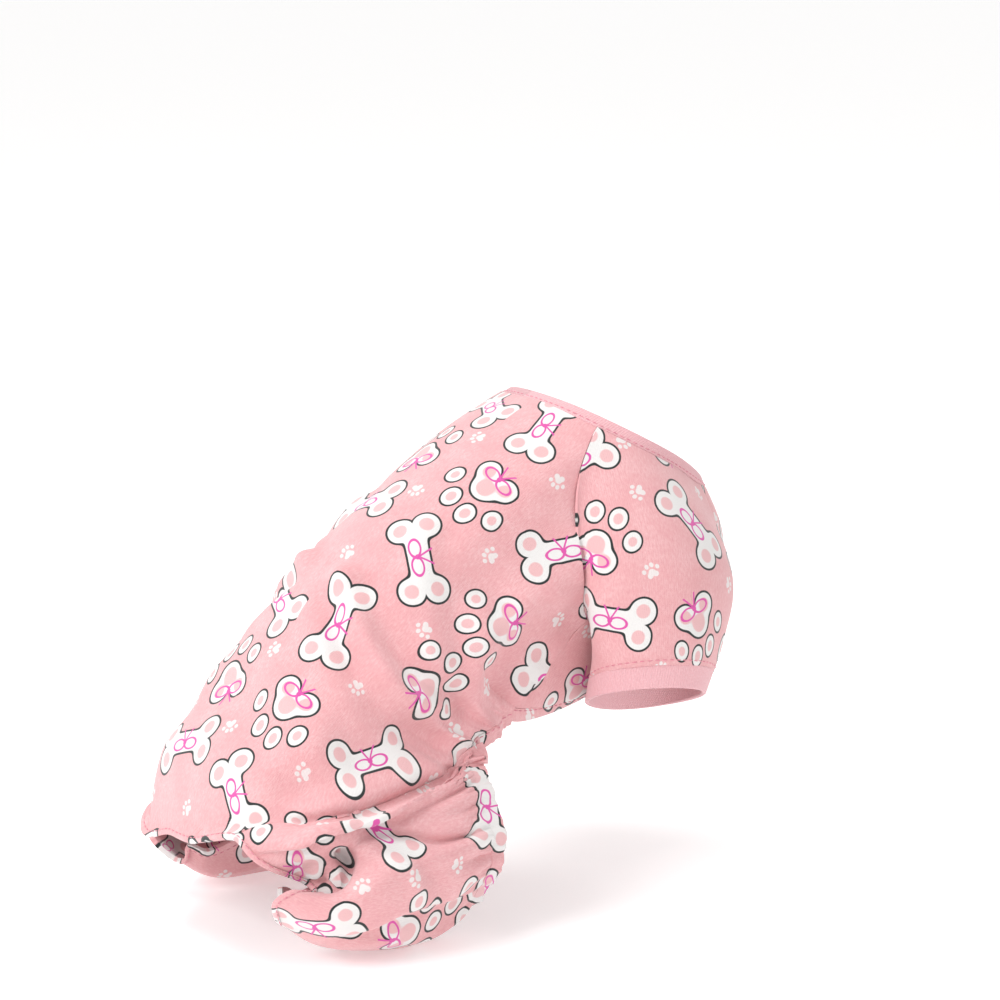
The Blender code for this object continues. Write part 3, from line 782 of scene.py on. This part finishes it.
# %% [markdown]
# ## Back panel
# The largest piece runs from the neck band to the tail hem and down to both side seams. Its free edges are
# drawn up: along the flank by the leg's elastic, and lightly along the tail by its hem.

# %% Back panel
BAND_WIDTH_AT_NECK = 0.005
SEAM_GAP = 0.0001
RAGLAN_ROWS = 46
SIDE_ROWS = 24
FLANK_ROWS = 26
LEG_ROWS = 64
BACK_COLUMNS = 76
# Gathers: how many, how deep, how far they reach into the cloth. Few long folds carry many short puckers.
FLANK_FOLDS = (3.5, 0.0018, 0.022)
FLANK_PUCKERS = (8, 0.0010, 0.009)
SEAT_PUCKERS = (24, 0.0004, 0.008)


def below_neck(across, distance=BAND_WIDTH_AT_NECK + SEAM_GAP):
    """Stations that lie at a distance from the neck opening's edge."""
    stations = np.linspace(0, 2, 61)
    found = []
    for share in np.atleast_1d(across):
        steps = np.linalg.norm(np.diff(torso(stations, share), axis=0), axis=1)
        found.append(np.interp(distance, np.concatenate([[0], np.cumsum(steps)]), stations))
    return np.array(found)


def back_raglan(station):
    """Where the back panel ends at the sleeve, as a share across."""
    return 0.46 + 0.54 * np.clip(np.asarray(station) / UNDERARM, 0, 1) ** 3.0


def front_raglan(station):
    """Where the belly panel ends at the sleeve."""
    share = np.clip(np.asarray(station) / UNDERARM, 0, 1)
    return 1.35 - 0.35 * share**2.2


def row_stations(start, *stops):
    """Stations of a panel's rows from each column's start through stops, each a station and a row count."""
    rows, last = [np.asarray(start)[None, :]], np.asarray(start)[None, :]
    for stop, count in stops:
        share = np.linspace(0, 1, count)[1:, None]
        rows.append(last + (stop - last) * share)
        last = rows[-1][-1:]
    return np.concatenate(rows)


def hip_line():
    """The line in which the leg meets the back panel, from the rear to the front."""
    return torso(np.linspace(TAIL - 0.9, LEG_START + 0.35, LINE_SAMPLES), 1.0)


def uneven_wave(turns):
    """Gathers of uneven size, from -1 to 1, through a number of turns."""
    return 0.7 * np.sin(2 * math.pi * turns) + 0.3 * np.sin(2 * math.pi * turns * 1.62 + 0.7)


def gathers(points, edge, share, sizes):
    """How far a row of gathers along an edge lifts the cloth. share runs along that edge, at which the sewing
    holds the gathers flatter than just inside it."""
    count, depth, reach = sizes
    away = distance_to(points, edge) / reach
    held = 0.35 + 0.65 * smooth_step(away, 0.0, 0.35)
    return depth * held * np.exp(-(away**1.5)) * uneven_wave(share * count)


def back_half():
    """The back panel's right half, from the middle of the back out to its edge."""
    columns = np.linspace(0, 1, BACK_COLUMNS)[None, :]
    start = below_neck(columns[0] * back_raglan(0.0))
    stations = row_stations(start, (UNDERARM, RAGLAN_ROWS), (BELLY_END_SIDE, SIDE_ROWS),
                            (LEG_START, FLANK_ROWS), (TAIL, LEG_ROWS))
    across = np.where(stations < UNDERARM, back_raglan(stations), 1.0) * columns
    points = torso(stations, across)
    bare = points
    points = points + crease(points, hip_line(), HIP_FOLD_DEPTH, HIP_FOLD_HALF_WIDTH, HIP_FOLD_LIP)
    lift = sum(fold(points, through(places), *sizes) for _, places, *sizes in BACK_FOLDS)
    edge = torso(np.linspace(BELLY_END_SIDE, LEG_START, 50), 1.0)
    share = (stations - BELLY_END_SIDE) / (LEG_START - BELLY_END_SIDE)
    lift = lift + gathers(points, edge, share, FLANK_FOLDS) + gathers(points, edge, share, FLANK_PUCKERS)
    tail = torso(TAIL, np.linspace(0, 0.4, 50))
    lift = lift + gathers(points, tail, across, SEAT_PUCKERS)
    return points + square_to(points) * lift[..., None], bare


right_back, bare_back = back_half()


def with_unevenness(points):
    return points + square_to(points) * soft_unevenness(points)[..., None]


print("back panel grid:", right_back.shape)

# %% [markdown]
# ## Belly panel
# A short bib under the chest, from the neck band to a narrow hem behind the sleeves. It is almost flat and
# the sleeves hide most of it.

# %% Belly panel
BELLY_COLUMNS = 44


def belly_half():
    """The belly panel's right half, from the middle of the belly out to its edge."""
    columns = np.linspace(0, 1, BELLY_COLUMNS)[None, :]
    end = BELLY_END_MIDDLE + (BELLY_END_SIDE - BELLY_END_MIDDLE) * columns
    start = below_neck((2 - (2 - front_raglan(0.0)) * columns)[0])
    stations = row_stations(start, (UNDERARM, RAGLAN_ROWS), (end, SIDE_ROWS))
    side = np.where(stations < UNDERARM, front_raglan(stations), 1.0)
    points = torso(stations, 2 - (2 - side) * columns)
    points[:, -1] += unit(points[:, -2] - points[:, -1]) * SEAM_GAP
    return points


right_belly = belly_half()
belly_flat = flatten(both_sides(right_belly)) + PRINT_STARTS["belly"]
cloth("belly_panel_cloth", with_unevenness(both_sides(right_belly)), JERSEY_THICKNESS, jersey,
      ["belly_panel"], belly_flat)

# %% [markdown]
# ## Sleeves
# A raglan sleeve joins the neck band directly, with one slanting seam in front and one behind. From that
# curved armhole it goes through four rings to the hem, and its plain band is the last centimetre. The
# columns are turned so that the print's own seam lies under the arm, where the real sleeve is sewn shut.

# %% Sleeves
SLEEVE_COLUMN_NAMES = ("ahead", "out", "down", "high", "wide", "lift", "tip")
SLEEVE = (
    (0.150, 0.90, 0.00, 1.42, 1.33, 82.0, 0.0),
    (0.140, 1.14, 0.42, 1.22, 1.38, 60.0, 3.0),
    (0.118, 1.15, 0.73, 1.04, 1.18, 36.0, 7.0),
    (0.095, 1.10, 1.03, 1.00, 1.02, 22.0, 9.0),
)
SHOULDER_DROP = 0.050
SHOULDER = (0.15, 1.25, 0.75)
NECK_TURN_REAR = -0.14
NECK_TURN_FRONT = 0.38
UNDERARM_TURN = -0.82
SLEEVE_NECK_COLUMNS = 40
SLEEVE_ROWS = 46
SLEEVE_SAMPLES = 121
SLEEVE_BAND_WIDTH = 0.010
BAND_THICKNESS = 0.0019
BAND_GAP = 0.0004
BAND_ROWS = 12
SLEEVE_LIFT = 0.0003


def sleeve_ring(row, around):
    """Points of one ring of the sleeve. around is 0 at its outer or upper side."""
    r = dict(zip(SLEEVE_COLUMN_NAMES, row))
    centre = np.array((r["ahead"] * BODY_RUN, -r["out"] * CHEST_HALF_WIDTH,
                       -SHOULDER_DROP - r["down"] * SLEEVE_LENGTH))
    lift = math.radians(r["lift"])
    outward = np.array((0.0, -math.cos(lift), math.sin(lift))) * r["high"] * SLEEVE_RADIUS
    tip = math.radians(r["tip"])
    forward = np.array((math.cos(tip), 0.0, -math.sin(tip))) * r["wide"] * SLEEVE_RADIUS
    return centre + np.outer(np.cos(around), outward) + np.outer(np.sin(around), forward)


def armhole():
    """Where the sleeve meets the body, as stations, shares across and turns around the sleeve."""
    back, front = back_raglan(0.0), front_raglan(0.0)
    across = [np.linspace(back, front, SLEEVE_NECK_COLUMNS)]
    stations = [below_neck(across[0])]
    turns = [np.linspace(NECK_TURN_REAR, NECK_TURN_FRONT, SLEEVE_NECK_COLUMNS)]
    share = np.linspace(0, 1, RAGLAN_ROWS)[1:]
    for edge, first_turn, last_turn, order in ((front_raglan, NECK_TURN_FRONT, UNDERARM_TURN + 2, 1),
                                               (back_raglan, NECK_TURN_REAR, UNDERARM_TURN, -1)):
        start = below_neck(edge(0.0))[0]
        found = start + (UNDERARM - start) * share
        turn = first_turn + (last_turn - first_turn) * share
        kept = slice(None) if order > 0 else slice(-2, None, -1)
        stations.append(found[kept])
        across.append(edge(found)[kept])
        turns.append(turn[kept])
    return np.concatenate(stations), np.concatenate(across), np.concatenate(turns) * math.pi


def sleeve_surface():
    """The sleeve and its band as one surface from the armhole down, closed around."""
    stations, across, around = armhole()
    rings = np.array([sleeve_ring(row, around) for row in SLEEVE])
    seam = torso(stations, across)
    along = unit(np.roll(seam, -1, axis=0) - np.roll(seam, 1, axis=0))
    inward = np.array(place(*SHOULDER)) - seam
    inward = unit(inward - (inward * along).sum(-1, keepdims=True) * along)
    seam = seam + SLEEVE_LIFT * inward
    down = np.linspace(0, 1, SLEEVE_SAMPLES)
    settle = ((1 - down) ** 2)[:, None, None]
    return spline(rings, down * (len(SLEEVE) - 1)) + settle * (seam - rings[0])


def strip(surface, start, stop, rows):
    """Rows of a surface between two distances from its first edge, or from its last if less than 0."""
    found = []
    for column in surface.transpose(1, 0, 2):
        run = np.concatenate([[0], np.cumsum(np.linalg.norm(np.diff(column, axis=0), axis=1))])
        ends = [run[-1] + d if d < 0 else d for d in (start, stop)]
        at = np.linspace(ends[0], ends[1] if stop else run[-1], rows)
        found.append(np.stack([np.interp(at, run, column[:, axis]) for axis in range(3)], -1))
    return np.array(found).transpose(1, 0, 2)


right_sleeve = np.roll(sleeve_surface(), 2 - SLEEVE_NECK_COLUMNS - RAGLAN_ROWS, axis=1)
sleeve_cloth = strip(right_sleeve, 0, -SLEEVE_BAND_WIDTH + BAND_GAP, SLEEVE_ROWS)
for side, placed, turned in SIDES:
    panel = placed(sleeve_cloth)
    cloth(f"sleeve_{side}_cloth", with_unevenness(panel), JERSEY_THICKNESS, jersey, [f"sleeve_{side}"],
          flatten(around_again(panel)) + PRINT_STARTS["sleeve"], closed=True, inside_out=turned)
    cloth(f"sleeve_{side}_band", placed(strip(right_sleeve, -SLEEVE_BAND_WIDTH, 0, BAND_ROWS)),
          BAND_THICKNESS, rib, [f"sleeve_band_{side}"], closed=True, inside_out=turned)

# %% [markdown]
# ## Hind legs
# Each leg is a wide bag of cloth. It hangs from the back panel's edge, puffs out over the thigh, turns under
# where it rests, and comes up on the inside to the open seat. Its front edge is gathered into a casing.

# %% Hind legs
# Each row: station, then its places around the leg: ridge, fold, bulge, floor, under, inner side, hem
LEG = (
    (5.5, (-0.314, 0.64, 0.337), (-0.317, 0.75, 0.296), (-0.320, 0.90, 0.185), (-0.350, 0.80, 0.075),
     (-0.370, 0.575, 0.015), (-0.300, 0.43, 0.15), (-0.310, 0.50, 0.335)),
    (6.2, (-0.427, 0.78, 0.315), (-0.443, 0.82, 0.278), (-0.455, 1.00, 0.185), (-0.446, 0.85, 0.035),
     (-0.490, 0.64, 0.015), (-0.460, 0.47, 0.07), (-0.440, 0.46, 0.20)),
    (7.0, (-0.565, 0.89, 0.292), (-0.565, 0.84, 0.262), (-0.585, 1.05, 0.18), (-0.540, 0.92, 0.045),
     (-0.600, 0.70, 0.020), (-0.580, 0.56, 0.04), (-0.550, 0.475, 0.125)),
    (8.1, (-0.706, 0.85, 0.268), (-0.652, 0.82, 0.200), (-0.680, 0.99, 0.155), (-0.670, 0.92, 0.075),
     (-0.675, 0.74, 0.045), (-0.665, 0.62, 0.05), (-0.660, 0.525, 0.10)),
    (9.0, (-0.783, 0.68, 0.220), (-0.674, 0.74, 0.160), (-0.740, 0.865, 0.172), (-0.775, 0.83, 0.150),
     (-0.745, 0.72, 0.095), (-0.720, 0.63, 0.09), (-0.710, 0.575, 0.13)),
)
LEG_COLUMNS = 230
LEG_FOLDS = (11, 0.0023, 0.025)
LEG_PUCKERS = (34, 0.0011, 0.0095)
# Creases of a leg: name, places along it as station and share around, depth, half width, lip
LEG_CREASES = (
    ("under the hip roll", ((8.90, 0.13), (8.31, 0.171), (7.54, 0.175), (6.92, 0.282), (6.45, 0.329),
                            (6.16, 0.357), (5.80, 0.37)), 0.0038, 0.0038, 0.0028),
    ("seat notch", ((9.00, 0.264), (8.31, 0.339), (7.94, 0.325), (7.83, 0.285)), 0.0042, 0.0034, 0.0022),
    ("bag fold", ((7.90, 0.56), (7.65, 0.543), (6.92, 0.511), (6.34, 0.504), (5.94, 0.511)),
     0.0026, 0.0042, 0.0018),
    ("knot", ((7.92, 0.262), (7.83, 0.279), (7.72, 0.29)), 0.0040, 0.0030, 0.0),
    ("panel from the knot", ((7.65, 0.262), (7.14, 0.325), (6.70, 0.396), (6.59, 0.450)),
     -0.0016, 0.0042, 0.0),
    ("beside that panel", ((6.96, 0.345), (6.56, 0.389), (6.38, 0.432), (6.20, 0.470)), 0.0020, 0.0045, 0.0),
)


def bare_leg(stations, shares):
    """The leg's surface without folds, on a grid of stations and shares around."""
    found = []
    for station, *places in LEG:
        rail = [torso(station, 0.72), torso(station, 1.0)]
        rail += [np.array(place(*row, THIGH_HALF_WIDTH)) for row in places]
        found.append(spline(rail, 1 + len(places) * shares))
    return spline(np.array(found), np.interp(stations, [row[0] for row in LEG], np.arange(len(LEG))))


def leg_half():
    """The right hind leg from its front opening to the seat, settled on the back panel's edge."""
    share = np.linspace(0, 1, LEG_COLUMNS)
    bare = bare_leg(np.linspace(LEG_START, TAIL, LEG_ROWS), share)
    points = bare + crease(bare, hip_line(), HIP_FOLD_DEPTH, HIP_FOLD_HALF_WIDTH)
    for _, places, *sizes in LEG_CREASES:
        line = np.array([bare_leg(station, np.array([around]))[0] for station, around in run_through(places)])
        points = points + crease(bare, line, *sizes)
    ends = smooth_step(share, 0.03, 0.10) * smooth_step(-share, -1, -0.95)
    lift = gathers(points, bare[0], share, LEG_FOLDS) + gathers(points, bare[0], share, LEG_PUCKERS)
    points = points + square_to(points) * (lift * ends)[..., None]
    seam = right_back[-LEG_ROWS:, -1]
    settle = ((1 - share) ** 6)[None, :, None]
    return points + settle * (seam - points[:, 0])[:, None], bare


right_leg, bare_right_leg = leg_half()

# %% [markdown]
# ### One hem line for back and legs
# The hem of the seat runs on from the back panel to the leg without a corner, because it is one sewn fold.
# Both edges are therefore moved onto one smoothed line, and the rows next to it follow a little less.

# %% Even out the seat's edge
EVENED_ROWS = 18
EVENING_REACH = 22
EVENED_LEG_SHARE = 0.30


def smoothed(line, reach):
    weights = np.hanning(2 * reach + 3)[1:-1]
    padded = np.pad(line, ((reach, reach), (0, 0)), mode="reflect", reflect_type="odd")
    return np.stack([np.convolve(padded[:, k], weights / weights.sum(), "valid") for k in range(3)], -1)


seat_edge = np.concatenate([right_leg[-1, ::-1], right_back[-1, -2::-1]])
across_middle = np.concatenate([seat_edge, (seat_edge * (1, -1, 1))[-2::-1]])
moved = smoothed(across_middle, EVENING_REACH)[:len(seat_edge)] - seat_edge
kept_shape = smooth_step(np.linspace(0, 1, LEG_COLUMNS), EVENED_LEG_SHARE, EVENED_LEG_SHARE + 0.1)
leg_moved = moved[LEG_COLUMNS - 1::-1] * (1 - kept_shape)[:, None]
back_moved = moved[LEG_COLUMNS - 1:][::-1]
for panel, shift_of_edge in ((right_back, back_moved), (right_leg, leg_moved)):
    follows = smooth_step(np.arange(EVENED_ROWS), -1, EVENED_ROWS - 1)[:, None, None]
    panel[-EVENED_ROWS:] += follows * shift_of_edge
print("largest move of the seat's edge in mm:", round(1000 * np.linalg.norm(moved, axis=1).max(), 1))

# %% [markdown]
# ### Sewing up
# With their shared edge in place, the back panel and both legs become cloth. The legs' print starts at
# another place than the back's, as on pieces that were cut apart.

# %% Sew up the back and the legs
back_flat = flatten(both_sides(bare_back))
cloth("back_panel_cloth", with_unevenness(both_sides(right_back)), JERSEY_THICKNESS, jersey, ["back_panel"],
      back_flat, inside_out=True)
leg_flat = {}
for side, placed, turned in SIDES:
    leg_flat[side] = flatten(placed(bare_right_leg)) + PRINT_STARTS["leg"]
    cloth(f"hind_leg_{side}_cloth", with_unevenness(placed(right_leg)), JERSEY_THICKNESS, jersey,
          [f"hind_leg_{side}"], leg_flat[side], inside_out=turned)

# %% [markdown]
# ## Casings and hems
# The cloth's free edges are folded over and sewn down, and round the legs an elastic runs inside the fold. A
# casing is modelled as a strip that carries the panel on past its edge. It is thicker than the panel and
# swells a little between its two rows of sewing.

# %% Casings and hems
CASING_THICKNESS = 0.0020
CASING_WIDTH = 0.0060
CASING_SWELL = 0.0003
FOLDED_HEM_WIDTH = 0.0018
CUFF_LEAN = 0.6
CUFF_GAP = 0.0006
SEAT_GAP = 0.0006
BELLY_HEM_GAP = 0.0004
TAIL_HEM_TURN = (0.25, 0.0, -0.2)
TAIL_HEM_WIDTH = 0.0022
HEM_ROWS = 8
# How many points on each side smooth a hem's direction
SMOOTHING_REACH = 8


def smoothed_in_box(values, reach):
    """Each value's mean with its neighbours, on the first axis."""
    padded = np.pad(values, ((reach, reach), (0, 0)), mode="edge")
    box = np.ones(2 * reach + 1) / (2 * reach + 1)
    return np.stack([np.convolve(column, box, "valid") for column in padded.T], -1)


def hem(path, away, width, gap):
    """Rows of a strip that carries cloth on past its edge. away is the way on, turned square to the path."""
    along = unit(np.gradient(path, axis=0))
    for _ in range(2):
        away = unit(away - (away * along).sum(-1, keepdims=True) * along)
        away = unit(smoothed_in_box(away, SMOOTHING_REACH))
    reach = (np.broadcast_to(np.asarray(width, float), len(path)) + gap)[:, None]
    return np.array([path + away * (reach * share) for share in np.linspace(0, 1, HEM_ROWS)])


def hem_to_middle(path, away, width, gap):
    """The right half of a strip whose path ends in the middle."""
    half = hem(path, away, width, gap)
    half[:, -1, 1] = 0
    return half


def whole_hem(half):
    return np.concatenate([half, left(half[:, -2::-1])], axis=1)


def swollen(strip_points, inside_out=False):
    """A strip whose middle stands proud of its edges."""
    rise = CASING_SWELL * np.sin(math.pi * np.linspace(0, 1, len(strip_points)))[:, None, None]
    sign = -1 if inside_out else 1
    return strip_points + sign * square_to(strip_points) * rise


def belly_hem_half():
    """The right half of the hem along the flank and behind the belly."""
    last = RAGLAN_ROWS + SIDE_ROWS + FLANK_ROWS - 3
    flank = slice(last - 2, last - FLANK_ROWS + 1, -1)
    path = np.concatenate([right_back[flank, -1], right_belly[-1, ::-1]])
    away = np.concatenate([(right_back[:, -1] - right_back[:, -6])[flank],
                           (right_belly[-1] - right_belly[-4])[::-1]])
    return hem_to_middle(path, away, CASING_WIDTH, BELLY_HEM_GAP)


def leg_cuff():
    """The casing at a leg's front opening, which leans forward."""
    around = np.arange(-SMOOTHING_REACH, LEG_COLUMNS + SMOOTHING_REACH) % LEG_COLUMNS
    away = unit(right_leg[0] - right_leg[5]) + np.array((CUFF_LEAN, 0, 0))
    casing = hem(right_leg[0, around], away[around], CASING_WIDTH, CUFF_GAP)
    return casing[:, SMOOTHING_REACH:-SMOOTHING_REACH]


def seat_hem_half():
    """The right half of the hem along the crotch, round the leg's seat and across the tail."""
    leg, back = right_leg, right_back
    path = np.concatenate([leg[1:, -1], leg[-1, -2::-1], back[-1, -2::-1]])
    down = np.array(TAIL_HEM_TURN) * np.linspace(0, 1, BACK_COLUMNS - 1)[:, None]
    away = np.concatenate([unit(leg[1:, -1] - leg[1:, -5]), unit(leg[-1] - leg[-4])[-2::-1],
                           unit(back[-1] - back[-4])[-2::-1] + down])
    width = np.concatenate([np.full(len(leg) - 1, CASING_WIDTH * 0.7),
                            np.full(LEG_COLUMNS - 1, FOLDED_HEM_WIDTH),
                            np.full(BACK_COLUMNS - 1, TAIL_HEM_WIDTH)])
    return hem_to_middle(path, away, smoothed_in_box(width[:, None], 12)[:, 0], SEAT_GAP)


def carried_on(edge_flat, inner_flat, rows):
    """The flat measure of a hem that carries a panel on, so that the print runs over the seam."""
    way = edge_flat - inner_flat
    way = way / np.maximum(np.linalg.norm(way, axis=-1, keepdims=True), 1e-9)
    reach = np.linalg.norm(rows - rows[0], axis=-1)
    return edge_flat + way * reach[..., None]


right_cuff = leg_cuff()
right_belly_hem = belly_hem_half()
right_seat_hem = seat_hem_half()
flank_count = FLANK_ROWS - 2
leg_count = LEG_ROWS + LEG_COLUMNS - 2

belly_casing = whole_hem(right_belly_hem[:, flank_count - 1:])
cloth("belly_hem_casing", swollen(belly_casing), CASING_THICKNESS, jersey, ["belly_hem"],
      carried_on(belly_flat[-1], belly_flat[-4], belly_casing))
tail_casing = whole_hem(right_seat_hem[:, leg_count - 1:])
cloth("tail_hem_casing", swollen(tail_casing, True), CASING_THICKNESS, jersey, ["seat_hem"],
      carried_on(back_flat[-1], back_flat[-4], tail_casing), inside_out=True)

last_flank_row = RAGLAN_ROWS + SIDE_ROWS + FLANK_ROWS - 5
flank_rows = np.arange(last_flank_row, last_flank_row - flank_count, -1)
for (side, placed, turned), (edge_column, inner_column) in zip(SIDES, ((0, 5), (-1, -6))):
    flank_casing = placed(right_belly_hem[:, :flank_count])
    cloth(f"flank_{side}_casing", swollen(flank_casing, turned), CASING_THICKNESS, jersey, ["belly_hem"],
          carried_on(back_flat[flank_rows, edge_column], back_flat[flank_rows, inner_column], flank_casing),
          inside_out=turned)
    flat = leg_flat[side]
    edge = np.concatenate([flat[1:, -1], flat[-1, -2::-1]])
    inner = np.concatenate([flat[1:, -5], flat[-5, -2::-1]])
    leg_hem = placed(right_seat_hem[:, :leg_count])
    cloth(f"seat_{side}_casing", swollen(leg_hem, not turned), CASING_THICKNESS, jersey, ["seat_hem"],
          carried_on(edge, inner, leg_hem), inside_out=not turned)
    cuff = placed(right_cuff)
    cuff_flat = carried_on(flat[0], flat[5], cuff)
    cuff_flat = np.concatenate([cuff_flat, 2 * cuff_flat[:, -1:] - cuff_flat[:, -2:-1]], axis=1)
    cloth(f"leg_{side}_casing", cuff, CASING_THICKNESS, jersey, [f"leg_cuff_{side}"], cuff_flat,
          closed=True, inside_out=not turned)

# %% [markdown]
# ## Neck band
# A narrow folded rib closes the neck opening. It follows the first few millimetres of the body's surface.

# %% Neck band
NECK_COLUMNS = 170
NECK_OVERLAP = 0.0003


def neck_rows(distances):
    """Closed rows of points at several distances from the neck opening's edge."""
    across = np.linspace(0, 2, NECK_COLUMNS)
    right = np.array([torso(below_neck(across, distance), across) for distance in distances])
    return np.concatenate([right, left(right[:, -2:0:-1])], axis=1)


cloth("neck_rib", neck_rows(np.linspace(0, BAND_WIDTH_AT_NECK + NECK_OVERLAP, HEM_ROWS)), BAND_THICKNESS, rib,
      ["neck_band"], closed=True)

# %% [markdown]
# ## Sewing
# Bands and hems are held by rows of machine stitches. Each stitch is a small rounded rod that lies on the
# cloth and dips into it at both ends. All stitches of one row are one mesh, made from the line that the
# needle follows.

# %% Stitches
STITCH_LENGTH = 0.0021
STITCH_GAP = 0.0009
THREAD_RADIUS = 0.00021
ROD_SHARES = np.array([0.0, 0.2, 0.5, 0.8, 1.0])
ROD_GIRTHS = np.array([0.35, 0.85, 1.0, 0.85, 0.35])
ROD_SIDES = 6


def stitches(name, rows, at_row, outward_sign=1.0):
    """A row of stitches along one row of a grid of cloth."""
    line = rows[at_row]
    outward = outward_sign * square_to(rows)[at_row]
    run = np.concatenate([[0], np.linalg.norm(np.diff(line, axis=0), axis=1).cumsum()])
    starts = np.arange(0, run[-1] - STITCH_LENGTH, STITCH_LENGTH + STITCH_GAP)
    at = starts[:, None] + STITCH_LENGTH * ROD_SHARES
    middle = np.stack([np.interp(at, run, line[:, axis]) for axis in range(3)], -1)
    rise = unit(np.stack([np.interp(at, run, outward[:, axis]) for axis in range(3)], -1))
    along = unit(middle[:, -1:] - middle[:, :1])
    side = unit(np.cross(along, rise))
    middle = middle + rise * (THREAD_RADIUS * 0.5 * np.sin(math.pi * ROD_SHARES))[None, :, None]
    turn = np.linspace(0, 2 * math.pi, ROD_SIDES, endpoint=False)
    ring = (np.cos(turn)[:, None] * side[:, :, None] + np.sin(turn)[:, None] * rise[:, :, None])
    points = middle[:, :, None] + ring * (THREAD_RADIUS * ROD_GIRTHS)[None, :, None, None]
    each = len(ROD_SHARES) * ROD_SIDES
    faces = []
    for ring_number in range(len(ROD_SHARES) - 1):
        for k in range(ROD_SIDES):
            a, b = ring_number * ROD_SIDES + k, ring_number * ROD_SIDES + (k + 1) % ROD_SIDES
            faces.append([a, a + ROD_SIDES, b + ROD_SIDES, b])
    caps = [list(range(ROD_SIDES)), list(range(each - 1, each - ROD_SIDES - 1, -1))]
    made = [[corner + number * each for corner in face]
            for number in range(len(starts)) for face in faces + caps]
    piece = new_piece(name, points, made, thread)
    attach(piece, "root")
    print(name, "stitches:", len(starts))


# A row of stitches takes three rows of cloth, of which it follows the middle one
SLEEVE_STITCHES_UP = 0.0016
NECK_STITCHES_DOWN = (0.0032, 0.0040, 0.0048)
above_band = strip(right_sleeve, -SLEEVE_BAND_WIDTH - SLEEVE_STITCHES_UP - 0.001,
                   -SLEEVE_BAND_WIDTH - SLEEVE_STITCHES_UP + 0.001, 3)
stitches("neck_stitches", around_again(neck_rows(NECK_STITCHES_DOWN)), 1)
stitches("belly_hem_stitches", swollen(whole_hem(right_belly_hem)), 1)
stitches("seat_hem_stitches", swollen(whole_hem(right_seat_hem), True), 1, -1.0)
for side, placed, turned in SIDES:
    stitches(f"sleeve_{side}_stitches", with_unevenness(around_again(placed(above_band))), 1,
             -1.0 if turned else 1.0)
